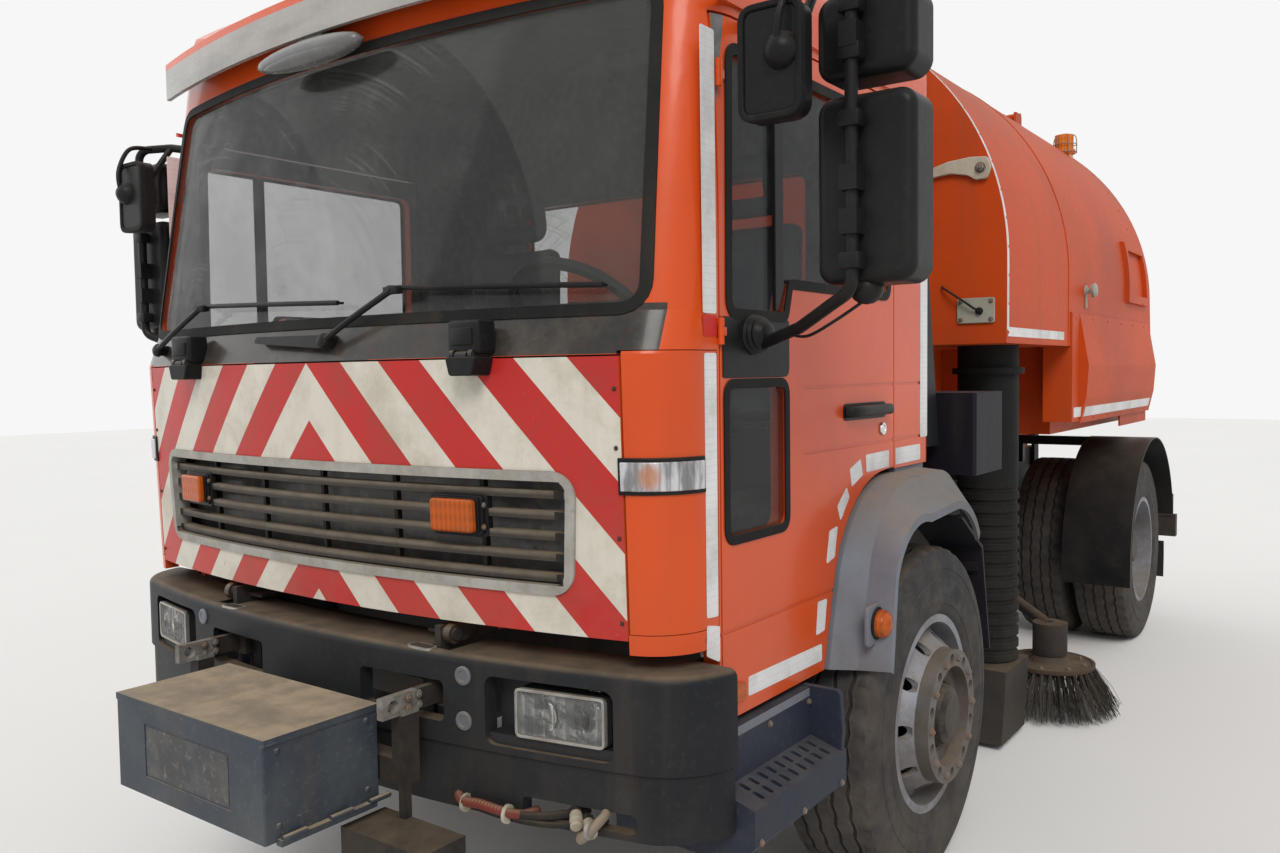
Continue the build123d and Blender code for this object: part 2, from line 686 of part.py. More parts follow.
nozzle_x = (600.0, 1040.0)
nozzle_y = (1150.0, 1470.0)
nozzle_low = 25.0
with BuildPart() as nozzle:
    with BuildSketch(Plane.XY.offset(nozzle_low)):
        with Locations((sum(nozzle_x) / 2, at(sum(nozzle_y) / 2))):
            Rectangle(nozzle_x[1] - nozzle_x[0], nozzle_y[1] - nozzle_y[0])
    with BuildSketch(Plane.XY.offset(nozzle_top)):
        with Locations((duct_x, at(duct_back - 50))):
            Rectangle(290, 320)
    loft(ruled=True)
    with BuildSketch(Plane.XY.offset(nozzle_low)):
        with Locations((sum(nozzle_x) / 2, at(sum(nozzle_y) / 2))):
            Rectangle(nozzle_x[1] - nozzle_x[0] - 16, nozzle_y[1] - nozzle_y[0] - 16)
    with BuildSketch(Plane.XY.offset(nozzle_top - 8)):
        with Locations((duct_x, at(duct_back - 50))):
            Rectangle(274, 304)
    loft(ruled=True, mode=Mode.SUBTRACT)
    with Locations((duct_x, at(duct_back), nozzle_top)):
        Cylinder(duct_radius - 16, 60, mode=Mode.SUBTRACT)
    # carrying arm to the frame
    block((rail_outer_x - 40, nozzle_x[0] + 120), (at(1200), at(1240)), (250, 290))
    block((rail_outer_x - 60, rail_outer_x - 20), (at(1200), at(1240)), (250, frame_low - seat_gap))
nodes["suction_nozzles"] = both_sides(nozzle.part)

with BuildPart() as sweep_engine:
    block((-470, 470), (at(440), at(1330)), (1075, 1560))
    chamfer(sweep_engine.edges().filter_by(Axis.Y), 60)
    block((-330, 330), (at(470), at(1250)), (950, 1090))
    block((-415, 415), (at(470), at(940)), (frame_top + seat_gap, 960))
    block((-350, 350), (at(470), at(1250)), (950, 990))
    with Locations((0, at(1290), 1400)):
        with Locations(Location((0, 0, 0), (0, 90, 0))):
            Cylinder(240, 260)
nodes["sweep_engine"] = sweep_engine.part

brush_x = 1050.0
brush_back = 1830.0
brush_radius = 320.0
brush_low = 6.0
brush_plate_z = (205.0, 225.0)
arm_pivot_x = 600.0
arm_pivot_back = 2350.0
arm_z = (430.0, 490.0)
arm_pin_radius = 25.0
with BuildPart() as brush:
    with BuildSketch(Plane.XY.offset(brush_low)):
        with Locations((brush_x, at(brush_back))):
            Circle(brush_radius)
            Circle(brush_radius - 110, mode=Mode.SUBTRACT)
    with BuildSketch(Plane.XY.offset(brush_plate_z[0])):
        with Locations((brush_x, at(brush_back))):
            Circle(185)
            Circle(120, mode=Mode.SUBTRACT)
    loft(ruled=True)
    with Locations((brush_x, at(brush_back), sum(brush_plate_z) / 2)):
        Cylinder(190, brush_plate_z[1] - brush_plate_z[0])
    with Locations((brush_x, at(brush_back), brush_plate_z[1] + 15)):
        Cylinder(70, 32)
nodes["gutter_brush_left"] = brush.part
nodes["gutter_brush_right"] = mirrored(brush.part)

motor_low = brush_plate_z[1] + 31 + seat_gap
with BuildPart() as arm:
    with Locations((brush_x, at(brush_back), (motor_low + 400) / 2)):
        Cylinder(75, 400 - motor_low)
    rod((brush_x, at(brush_back), 380), (arm_pivot_x, at(arm_pivot_back), 460), 28)
    with Locations((arm_pivot_x, at(arm_pivot_back), 460)):
        Cylinder(48, 60)
        Cylinder(arm_pin_radius + pin_gap, 80, mode=Mode.SUBTRACT)
nodes["brush_arm_left"] = arm.part
nodes["brush_arm_right"] = mirrored(arm.part)

with BuildPart() as arm_mount:
    for low, high in ((400, 424), (496, 520)):
        block((rail_outer_x - 40, arm_pivot_x + 45), (at(arm_pivot_back - 45), at(arm_pivot_back + 45)), (low, high))
    block((rail_outer_x - 50, rail_outer_x - 20), (at(arm_pivot_back - 45), at(arm_pivot_back + 45)),
          (400, frame_low - seat_gap))
    with Locations((arm_pivot_x, at(arm_pivot_back), 460)):
        Cylinder(arm_pin_radius, 120)

roller_back = 2600.0
roller_radius = 190.0
roller_z = 215.0
roller_half = 600.0
with BuildPart() as roller:
    with BuildSketch(Plane.YZ.offset(-roller_half)):
        with Locations((at(roller_back), roller_z)):
            Circle(roller_radius)
    extrude(amount=2 * roller_half)
    with BuildSketch(Plane.YZ.offset(-roller_half - 40)):
        with Locations((at(roller_back), roller_z)):
            Circle(30)
    extrude(amount=2 * roller_half + 80)
nodes["wide_brush"] = roller.part

with BuildPart() as roller_carrier:
    for side in (1, -1):
        block(sorted((side * 608, side * 628)), (at(roller_back - 60), at(roller_back + 60)), (150, 470))
        with BuildSketch(Plane.YZ.offset(-700)):
            with Locations((at(roller_back), roller_z)):
                Circle(30 + pin_gap)
        extrude(amount=1400, mode=Mode.SUBTRACT)
    block((-628, 628), (at(roller_back - 40), at(roller_back + 40)), (425, 470))
    for side in (1, -1):
        block(
            sorted((side * (rail_outer_x - 60), side * (rail_outer_x - 20))),
            (at(roller_back - 30), at(roller_back + 30)), (460, frame_low - seat_gap),
        )

with BuildPart() as brush_mounts:
    add(both_sides(arm_mount.part))
    add(roller_carrier.part)
nodes["brush_mounts"] = brush_mounts.part

# Rear mudguards and bumper

guard_radius = 640.0
guard_sheet = 6.0
guard_x = (855.0, 1200.0)
with BuildPart() as guard:
    with BuildSketch(Plane.YZ.offset(guard_x[0])) as arch:
        with BuildLine():
            for r in (guard_radius, guard_radius + guard_sheet):
                CenterArc((rear_axle_y, tyre_radius), r, 12, 168)
                Line((rear_axle_y - r, tyre_radius), (rear_axle_y - r, 400))
            Line((rear_axle_y - guard_radius, 400), (rear_axle_y - guard_radius - guard_sheet, 400))
            end = (cos(radians(12)), sin(radians(12)))
            Line(
                (rear_axle_y + guard_radius * end[0], tyre_radius + guard_radius * end[1]),
                (rear_axle_y + (guard_radius + guard_sheet) * end[0],
                 tyre_radius + (guard_radius + guard_sheet) * end[1]),
            )
        make_face()
    extrude(amount=guard_x[1] - guard_x[0])
    block((rail_outer_x + seat_gap, 900), (rear_axle_y - 20, rear_axle_y + 20), (1100, 1152))
    block((rail_outer_x + seat_gap, 470), (rear_axle_y - 20, rear_axle_y + 20), (990, 1110))
nodes["rear_mudguards"] = both_sides(guard.part)

with BuildPart() as rear_bumper:
    block((-1180, 1180), (at(wheelbase + rear_overhang - 60), at(wheelbase + rear_overhang)), (470, 610))
    for side in (1, -1):
        block(
            sorted((side * (rail_outer_x - 50), side * rail_outer_x)),
            (at(frame_rear) + seat_gap, at(wheelbase + rear_overhang - 10)), (600, frame_top),
        )
        block(
            sorted((side * 820, side * 1160)),
            (at(wheelbase + rear_overhang - 66), at(wheelbase + rear_overhang - 12)), (600, 740),
        )
nodes["rear_bumper"] = rear_bumper.part

# Cab: a hollow body split at its panels

cab_half_width = 1075.0
cab_bow_radius = 4436.0
cab_corner_radius = 150.0
cab_rear = 250.0
cab_wall = 45.0
cab_low = 740.0
roof_z = 2830.0
roof_bow_radius = 3750.0
roof_edge_radius = 260.0
brow_radius = 574.0
brow_back = -706.0
roof_rear_radius = 110.0
# height and distance of the front from the axle, at the middle of the cab
cab_sections = [
    (cab_low, -1343.0), (1605.0, -1372.0), (1700.0, -1336.0), (2460.0, -1212.0), (2880.0, -1150.0),
]


def roof_across(inset):
    # the cab seen from the front: upright sides, round roof edges and a bowed roof
    edge_x = cab_half_width - roof_edge_radius
    reach = roof_bow_radius - roof_edge_radius
    edge_z = roof_z - roof_bow_radius + sqrt(reach**2 - edge_x**2)
    lean = asin(edge_x / reach)
    bow, turn, half = roof_bow_radius - inset, roof_edge_radius - inset, cab_half_width - inset
    join = (bow * sin(lean), roof_z - roof_bow_radius + bow * cos(lean))
    middle = (edge_x + turn * sin((lean + radians(90)) / 2), edge_z + turn * cos((lean + radians(90)) / 2))
    with BuildSketch(Plane.XZ) as face:
        with BuildLine():
            ThreePointArc((-join[0], join[1]), (0, roof_z - inset), join)
            for side in (1, -1):
                ThreePointArc((side * join[0], join[1]), (side * middle[0], middle[1]), (side * half, edge_z))
                Line((side * half, edge_z), (side * half, 500))
            Line((-half, 500), (half, 500))
        make_face()
    return face.sketch


def roof_along(inset):
    # the cab seen from the side: a round brow, a level roof and a round rear edge
    top, brow, rear = roof_z - inset, brow_radius - inset, roof_rear_radius - inset
    rear_centre = at(cab_rear) - roof_rear_radius
    half_turn = sin(radians(45))
    with BuildSketch(Plane.YZ) as face:
        with BuildLine():
            brow_z = roof_z - brow_radius
            ThreePointArc(
                (at(brow_back) - brow, brow_z), (at(brow_back) - brow * half_turn, brow_z + brow * half_turn),
                (at(brow_back), top),
            )
            Line((at(brow_back), top), (rear_centre, top))
            rear_z = roof_z - roof_rear_radius
            ThreePointArc(
                (rear_centre, top), (rear_centre + rear * half_turn, rear_z + rear * half_turn),
                (rear_centre + rear, rear_z),
            )
            Polyline(
                (rear_centre + rear, rear_z), (rear_centre + rear, 500), (at(-1500), 500),
                (at(-1500), brow_z), (at(brow_back) - brow, brow_z),
            )
        make_face()
    return face.sketch


def cab_form(inset):
    # the cab's whole outer shape, drawn in by the inset
    with BuildPart() as form:
        levels = [
            plan_face(
                height, at(front), cab_bow_radius, cab_corner_radius, cab_half_width, at(cab_rear), inset
            )
            for height, front in cab_sections
        ]
        loft(levels, ruled=True)
        slab(roof_across(inset), -5000, 5000, Mode.INTERSECT)
        slab(roof_along(inset), -3000, 3000, Mode.INTERSECT)
    return form.part


door_front = -1055.0
door_rear = -45.0
door_low = 748.0
door_top = 2372.0
# the wheel arch's edge: a leg, a bend and a level part, as (back, height)
arch_start = (-525.0, door_low)
arch_leg = (-455.0, 1003.0)
arch_bend = (-345.0, 1168.0)
arch_level = (-130.0, 1257.0)
arch_top = 1262.0
arch_centre = (0.0, 560.0)


def arch_point(point, depth):
    # a point of the arch's edge moved towards the wheel
    across, up = point[0] - arch_centre[0], point[1] - arch_centre[1]
    scale = 1 - depth / sqrt(across**2 + up**2)
    return (at(arch_centre[0] + across * scale), arch_centre[1] + up * scale)


def hinge_rod(low, high, radius, side, mode=Mode.ADD):
    # a rod on the axis of a door's hinge
    place = (side * door_hinge_x, at(door_hinge_back))
    rod((*place, low), (*place, high), radius, mode)


def door_face(inset):
    with BuildSketch(Plane.YZ) as face:
        with BuildLine():
            Line((at(door_front), door_low), (at(arch_start[0]), arch_start[1]))
            Line((at(arch_start[0]), arch_start[1]), (at(arch_leg[0]), arch_leg[1]))
            ThreePointArc(
                (at(arch_leg[0]), arch_leg[1]), (at(arch_bend[0]), arch_bend[1]), (at(arch_level[0]), arch_level[1])
            )
            Polyline(
                (at(arch_level[0]), arch_level[1]), (at(door_rear), arch_top), (at(door_rear), door_top),
                (at(door_front), door_top), (at(door_front), door_low),
            )
        make_face()
        if inset:
            offset(amount=-inset, kind=Kind.INTERSECTION)
    return face.sketch


window_outline = [
    (at(-1008), 1700), (at(-742), 1700), (at(-716), 1785), (at(-92), 1785), (at(-92), 2296), (at(-1000), 2296),
]
kerb_outline = [(at(-1022), 1175), (at(-738), 1175), (at(-738), 1532), (at(-1022), 1532)]
screen_outline = [(-985, 1712), (985, 1712), (955, 2432), (-955, 2432)]
rear_window_outline = [(-650, 1850), (650, 1850), (650, 2250), (-650, 2250)]
flap_half = 955.0
flap_low = 971.0
flap_top = 1601.0
flap_hinge_back = -1378.0
flap_hinge_z = 1608.0
flap_lug_x = (572.0, 608.0)
flap_pin_radius = 5.0
gutter_z = 2392.0
corner_low = 987.0
corner_top = 1611.0
door_hinge_x = 1080.0
door_hinge_back = -1052.0
door_hinge_levels = (1625.0, 2200.0)
door_barrel = 60.0  # length of one hinge, a third of it on the door
barrel_radius = 8.0
barrel_pin_radius = 4.0
moving_gap = 5.0
cab_floor = 1180.0
footwell_floor = 985.0
bulkhead_back = -1195.0

cab_outer = cab_form(0)
cab_inner = cab_form(cab_wall)
cab_inner_clear = cab_form(cab_wall + seat_gap)
cab_over = cab_form(-6)

with BuildPart() as cab_skin:
    add(cab_outer)
    add(cab_inner, mode=Mode.SUBTRACT)
crease_depth = 3.0
crease_height = 9.0
# the pressed lines along the side, as (height, from, to)
side_creases = [(1520.0, -640.0, 300.0), (1350.0, -640.0, 300.0), (962.0, -1120.0, -400.0)]
with BuildPart() as cab_skin_creased:
    add(cab_skin.part)
    for height, start, end in side_creases:
        for side in (1, -1):
            block(
                sorted((side * (cab_half_width - crease_depth), side * (cab_half_width + 5))),
                (at(start), at(end)), (height - crease_height / 2, height + crease_height / 2), Mode.SUBTRACT,
            )
cab_skin = cab_skin_creased
with BuildPart() as skin_cutter:
    add(cab_over)
    add(cab_inner_clear, mode=Mode.SUBTRACT)

# firewall, scuttle, door posts and floors
post_x = (985.0, 1029.0)
floor_sheet = 15.0
with BuildPart() as cab_frame:
    block((-1029, 1029), (at(bulkhead_back), at(bulkhead_back + 12)), (960, 1640))
    block((-1029, 1029), (at(-1360), at(bulkhead_back + 6)), (1616, 1636))
    for side in (1, -1):
        post = sorted((side * post_x[0], side * post_x[1]))
        block(post, (at(bulkhead_back), at(-1063)), (942, 1640))
        block(sorted((side * 985, side * 1040)), (at(-1130), at(-1063)), (1618, 2430))
        well = (at(bulkhead_back), at(-600))
        block(sorted((side * 340, side * post_x[1])), well, (footwell_floor, footwell_floor + floor_sheet))
        block(sorted((side * 340, side * 352)), well, (footwell_floor, cab_floor + floor_sheet))
        block(sorted((side * 340, side * post_x[1])), (at(-612), at(-600)), (footwell_floor, cab_floor + floor_sheet))
    block((-352, 352), (at(bulkhead_back), at(-600)), (cab_floor, cab_floor + floor_sheet))
    block((-1029, 1029), (at(-601), at(cab_rear - 40)), (cab_floor, cab_floor + floor_sheet))
    add(cab_form(cab_wall - 2), mode=Mode.INTERSECT)

with BuildPart() as cab_shell:
    add(cab_skin.part)
    # the wheel arches and the space above the bumper
    with BuildSketch(Plane.YZ.offset(1000)) as arch_cut:
        with BuildLine():
            Polyline(
                (at(cab_rear + 20), 600), (at(-560), 600), (at(-560), arch_start[1] - 4),
                (at(arch_start[0]), arch_start[1]), (at(arch_leg[0]), arch_leg[1]),
            )
            ThreePointArc(
                (at(arch_leg[0]), arch_leg[1]), (at(arch_bend[0]), arch_bend[1]), (at(arch_level[0]), arch_level[1])
            )
            Polyline(
                (at(arch_level[0]), arch_level[1]), (at(door_rear), arch_top), (at(cab_rear + 20), arch_top),
                (at(cab_rear + 20), 600),
            )
        make_face()
    extrude(amount=200, mode=Mode.SUBTRACT)
    with BuildPart(mode=Mode.PRIVATE) as right_arch:
        extrude(arch_cut.sketch.moved(Location((-2200, 0, 0))), amount=200)
    add(right_arch.part, mode=Mode.SUBTRACT)
    block((-1000, 1000), (at(100), at(400)), (600, cab_floor), Mode.SUBTRACT)
    block((-1200, 1200), (at(-1500), at(-1061)), (600, 940), Mode.SUBTRACT)
    block((-flap_half, flap_half), (at(-1500), at(bulkhead_back - 1)), (600, flap_top + 4), Mode.SUBTRACT)
    # doors, windscreen and rear window
    slab(door_face(0), 900, 1200, Mode.SUBTRACT)
    slab(door_face(0), -1200, -900, Mode.SUBTRACT)
    slab(front_face(screen_outline, corner=55), -at(-1000), -at(-1500), Mode.SUBTRACT)
    slab(front_face(rear_window_outline, corner=50), -at(cab_rear + 30), -at(100), Mode.SUBTRACT)
    # sills under the doors stay out, below the doors' lower edge
    block((-1200, 1200), (at(-1061), at(-500)), (600, door_low), Mode.SUBTRACT)
    add(cab_frame.part)
    for side in (1, -1):
        # arms down to the tilting pins
        block(
            sorted((side * tilt_arm_x[0], side * tilt_arm_x[1])),
            (at(tilt_back), at(bulkhead_back + 12)), (tilt_z - 20, tilt_z + 24),
        )
        block(
            sorted((side * tilt_arm_x[0], side * tilt_arm_x[1])),
            (at(-1250), at(-1100)), (tilt_z - 20, footwell_floor + 4),
        )
        rod(
            (side * tilt_arm_x[0], at(tilt_back), tilt_z), (side * tilt_arm_x[1], at(tilt_back), tilt_z), 24,
        )
        rod(
            (side * (tilt_arm_x[0] - 5), at(tilt_back), tilt_z),
            (side * (tilt_arm_x[1] + 5), at(tilt_back), tilt_z), tilt_pin_radius + pin_gap, Mode.SUBTRACT,
        )
    # barrels and pins of the doors' hinges
    for side in (1, -1):
        for level in door_hinge_levels:
            low, high = level + door_barrel / 3, level + 2 * door_barrel / 3
            hinge_rod(low - moving_gap, high + moving_gap, barrel_radius + moving_gap, side, Mode.SUBTRACT)
            hinge_rod(level, low, barrel_radius, side)
            hinge_rod(high, level + door_barrel, barrel_radius, side)
            hinge_rod(level, level + door_barrel, barrel_pin_radius, side)
    # pins of the flap's hinges, on ears under the windscreen
    for side in (1, -1):
        for low, high in ((flap_lug_x[0] - 18, flap_lug_x[0] - 6), (flap_lug_x[1] + 6, flap_lug_x[1] + 18)):
            low, high = sorted((side * low, side * high))
            block((low, high), (at(flap_hinge_back), at(flap_hinge_back) + 62), (flap_top + 6, 1640))
            rod((low, at(flap_hinge_back), flap_hinge_z + 4), (high, at(flap_hinge_back), flap_hinge_z + 4), 10)
        low, high = sorted((side * (flap_lug_x[0] - 18), side * (flap_lug_x[1] + 18)))
        rod((low, at(flap_hinge_back), flap_hinge_z), (high, at(flap_hinge_back), flap_hinge_z), flap_pin_radius)
    # gutter rails over the doors
    for side in (1, -1):
        with BuildSketch(Plane.XZ.offset(-at(-1080))):
            with BuildLine():
                Polyline(
                    (side * (cab_half_width - 6), gutter_z), (side * (cab_half_width + 9), gutter_z + 2),
                    (side * (cab_half_width + 9), gutter_z + 14), (side * (cab_half_width + 5), gutter_z + 14),
                    (side * (cab_half_width + 5), gutter_z + 8), (side * (cab_half_width - 6), gutter_z + 8), close=True
                )
            make_face()
        extrude(amount=-1290)
    # corner panels sit in front of the posts
    with BuildPart(mode=Mode.PRIVATE) as corner_space:
        add(skin_cutter.part)
        block((flap_half - 8, 1200), (at(-1500), at(-1062)), (corner_low - 2, corner_top + 2), Mode.INTERSECT)
    add(corner_space.part, mode=Mode.SUBTRACT)
    add(mirrored(corner_space.part), mode=Mode.SUBTRACT)
nodes["cab_shell"] = cab_shell.part

with BuildPart() as corner_panel:
    add(cab_skin.part)
    block((flap_half + panel_gap / 2, 1200), (at(-1500), at(-1065)), (corner_low, corner_top), Mode.INTERSECT)
nodes["corner_panels"] = both_sides(corner_panel.part)

# Glass stands 8 mm inside the outer skin and is 6 mm thick.
with BuildPart() as glass_skin:
    add(cab_form(8))
    add(cab_form(14), mode=Mode.SUBTRACT)
with BuildPart() as cab_glass:
    add(glass_skin.part)
    slab(front_face(screen_outline, inset=seat_gap, corner=55), -at(-1000), -at(-1500), Mode.INTERSECT)
with BuildPart() as rear_glass:
    add(glass_skin.part)
    slab(front_face(rear_window_outline, inset=seat_gap, corner=50), -at(cab_rear + 30), -at(100), Mode.INTERSECT)
with BuildPart() as cab_windows:
    add(cab_glass.part)
    add(rear_glass.part)
nodes["cab_glass"] = cab_windows.part

visor_z = (2490.0, 2605.0)
visor_sheet = 14.0
with BuildPart() as visor:
    with BuildSketch(Plane.XY.offset(visor_z[0])) as strip:
        with BuildLine():
            ThreePointArc((-1012, at(-1150)), (0, at(-1272)), (1012, at(-1150)))
            ThreePointArc((-1012, at(-1150) + visor_sheet), (0, at(-1272) + visor_sheet), (1012, at(-1150) + visor_sheet))
            Line((-1012, at(-1150)), (-1012, at(-1150) + visor_sheet))
            Line((1012, at(-1150)), (1012, at(-1150) + visor_sheet))
        make_face()
    extrude(amount=visor_z[1] - visor_z[0])
    with BuildSketch(Plane.XY.offset(visor_z[1] - 12)):
        with BuildLine():
            ThreePointArc((-1012, at(-1150)), (0, at(-1272)), (1012, at(-1150)))
            Polyline((-1012, at(-1150)), (-1012, at(-1040)), (1012, at(-1040)), (1012, at(-1150)))
        make_face()
    extrude(amount=12)
    add(cab_form(-seat_gap), mode=Mode.SUBTRACT)
visor.part = visor.part.solids().sort_by(SortBy.VOLUME)[-1]
nodes["sun_visor"] = visor.part

# Grey arch flares, carried by the cab: sections at four distances from the middle, each a
# leg, a bend, a level part and a rear bend
flare_sheet = 6.0
flare_inner_x = 1048.0
arch_gap = 9.0
flare_under = [
    (-516.0, 752.0), (-446.0, 1005.0), (-338.0, 1161.0), (-127.0, 1248.0), (120.0, 1252.0), (246.0, 1206.0),
    (316.0, 1085.0),
]
flare_ridge = [
    (-478.0, 752.0), (-402.0, 1010.0), (-318.0, 1150.0), (-132.0, 1238.0), (130.0, 1245.0), (262.0, 1198.0),
    (334.0, 1085.0),
]
flare_outer = [
    (-449.0, 752.0), (-408.0, 1010.0), (-330.0, 1110.0), (-150.0, 1145.0), (80.0, 1158.0), (210.0, 1118.0),
    (290.0, 1030.0),
]
flare_sections = [(flare_inner_x, flare_under), (1082.0, flare_under), (1150.0, flare_ridge), (1230.0, flare_outer)]


def flare_face(x, line, depth):
    outer = [(at(back), z) for back, z in line]
    inner = [arch_point(point, depth) for point in line]
    with BuildSketch(Plane.YZ.offset(x)) as face:
        with BuildLine():
            for row in (outer, inner):
                Line(row[0], row[1])
                ThreePointArc(row[1], row[2], row[3])
                Line(row[3], row[4])
                ThreePointArc(row[4], row[5], row[6])
            Line(outer[0], inner[0])
            Line(outer[6], inner[6])
        make_face()
    return face.sketch


with BuildPart() as flare:
    loft([flare_face(x, line, flare_sheet) for x, line in flare_sections], ruled=True)
    loft([flare_face(flare_x, flare_outer, 26) for flare_x in (1218.0, 1230.0)], ruled=True)
    # pads under the cab's rear pillar
    block((flare_inner_x, cab_half_width - 4), (at(-30), at(200)), (1240, arch_top - seat_gap))
nodes["arch_flares"] = both_sides(flare.part)

# Inside the cab
dash_half = 984.0
with BuildPart() as dashboard:
    with BuildSketch(Plane.YZ.offset(-dash_half)):
        with BuildLine():
            Polyline(
                (at(bulkhead_back + 12) + seat_gap, 1300), (at(-1040), 1290), (at(-930), 1380), (at(-905), 1560),
                (at(-990), 1650), (at(bulkhead_back + 12) + seat_gap, 1600), close=True,
            )
        make_face()
    extrude(amount=2 * dash_half)
    # column and wheel
    rod((480, at(-960), 1560), (480, at(-814), 1714), 32)
    hub_plane = Plane(origin=(480, at(-812), 1716), x_dir=(1, 0, 0), z_dir=(0, sin(radians(42)), cos(radians(42))))
    with BuildSketch(hub_plane):
        Circle(222)
        Circle(198, mode=Mode.SUBTRACT)
    extrude(amount=12, both=True)
    with BuildSketch(hub_plane):
        Rectangle(406, 34)
        Circle(58)
    extrude(amount=9, both=True)
nodes["dashboard"] = dashboard.part

seat_x = 520.0
with BuildPart() as seat:
    block((seat_x - 190, seat_x + 190), (at(-480), at(-80)), (cab_floor + 15 + seat_gap, 1400))
    with BuildSketch(Plane.YZ.offset(seat_x - 250)):
        with BuildLine():
            Polyline(
                (at(-560), 1400), (at(-60), 1400), (at(60), 2080), (at(-40), 2100), (at(-170), 1560), (at(-560), 1580),
                close=True,
            )
        make_face()
    extrude(amount=500)
    block((seat_x - 150, seat_x + 150), (at(-60), at(40)), (2070, 2290))
nodes["seats"] = both_sides(seat.part)

# Front flap with its grille
grille_outline = [(-842, 1345), (842, 1345), (826, 1060), (-826, 1060)]
with BuildPart() as flap:
    add(cab_skin.part)
    block(
        (-flap_half + panel_gap / 2, flap_half - panel_gap / 2), (at(-1500), at(bulkhead_back - 2)), (flap_low, flap_top),
        Mode.INTERSECT,
    )
    slab(front_face(grille_outline, corner=60), -at(-1150), -at(-1500), Mode.SUBTRACT)
    for side in (1, -1):
        low, high = sorted((side * flap_lug_x[0], side * flap_lug_x[1]))
        block((low, high), (at(flap_hinge_back), at(flap_hinge_back) + 62), (1575, flap_top + 1))
        rod((low, at(flap_hinge_back), flap_hinge_z), (high, at(flap_hinge_back), flap_hinge_z), 10)
        block((low, high), (at(flap_hinge_back) - 10, at(flap_hinge_back) + 40), (1575, flap_hinge_z))
        rod(
            (low - 1, at(flap_hinge_back), flap_hinge_z), (high + 1, at(flap_hinge_back), flap_hinge_z),
            flap_pin_radius + pin_gap, Mode.SUBTRACT,
        )
nodes["front_flap"] = flap.part

slat_levels = [1098.0, 1146.0, 1194.0, 1242.0, 1290.0]
strut_places = (-560, -280, 0, 280, 560)
with BuildPart() as slat_band:
    add(cab_form(8))
    add(cab_form(38), mode=Mode.SUBTRACT)
with BuildPart() as strut_band:
    add(cab_form(30))
    add(cab_form(44), mode=Mode.SUBTRACT)
with BuildPart() as grille:
    add(cab_over)
    add(cab_inner, mode=Mode.SUBTRACT)
    slab(front_face(grille_outline, inset=seat_gap, corner=60), -at(-1150), -at(-1500), Mode.INTERSECT)
    slab(front_face(grille_outline, inset=24, corner=50), -at(-1150), -at(-1500), Mode.SUBTRACT)
    for level in slat_levels:
        with BuildPart(mode=Mode.PRIVATE) as slat:
            add(slat_band.part)
            block((-830, 830), (at(-1500), at(-1200)), (level - 9, level + 9), Mode.INTERSECT)
            slab(front_face(grille_outline, inset=4, corner=56), -at(-1150), -at(-1500), Mode.INTERSECT)
        add(slat.part)
    for x in strut_places:
        with BuildPart(mode=Mode.PRIVATE) as strut:
            add(strut_band.part)
            block((x - 6, x + 6), (at(-1500), at(-1200)), (1064, 1341), Mode.INTERSECT)
        add(strut.part)
nodes["grille"] = grille.part

# Doors
with BuildPart() as door:
    add(cab_skin.part)
    slab(door_face(panel_gap), 900, 1200, Mode.INTERSECT)
    for level in door_hinge_levels:
        low, high = level + door_barrel / 3, level + 2 * door_barrel / 3
        hinge_rod(level - moving_gap, level + door_barrel + moving_gap, barrel_radius + moving_gap, 1, Mode.SUBTRACT)
        hinge_rod(low + seat_gap, high - seat_gap, barrel_radius, 1)
        block(
            (door_hinge_x - 14, door_hinge_x), (at(door_front + panel_gap), at(door_front + 28)),
            (low + seat_gap, high - seat_gap),
        )
        hinge_rod(low - 1, high + 1, barrel_pin_radius + pin_gap, 1, Mode.SUBTRACT)
    slab(side_face(window_outline, corner=34), 900, 1200, Mode.SUBTRACT)
    slab(side_face(kerb_outline, corner=34), 900, 1200, Mode.SUBTRACT)
nodes["door_left"] = door.part
nodes["door_right"] = mirrored(door.part)

with BuildPart() as door_panes:
    for outline in (window_outline, kerb_outline):
        with BuildPart(mode=Mode.PRIVATE) as pane:
            add(glass_skin.part)
            slab(side_face(outline, inset=seat_gap, corner=34), 900, 1200, Mode.INTERSECT)
        add(pane.part)
nodes["door_glass_left"] = door_panes.part
nodes["door_glass_right"] = mirrored(door_panes.part)

mirror_tube_radius = 14.0
mirror_tube_x = 1395.0
mirror_tube_back = -1045.0
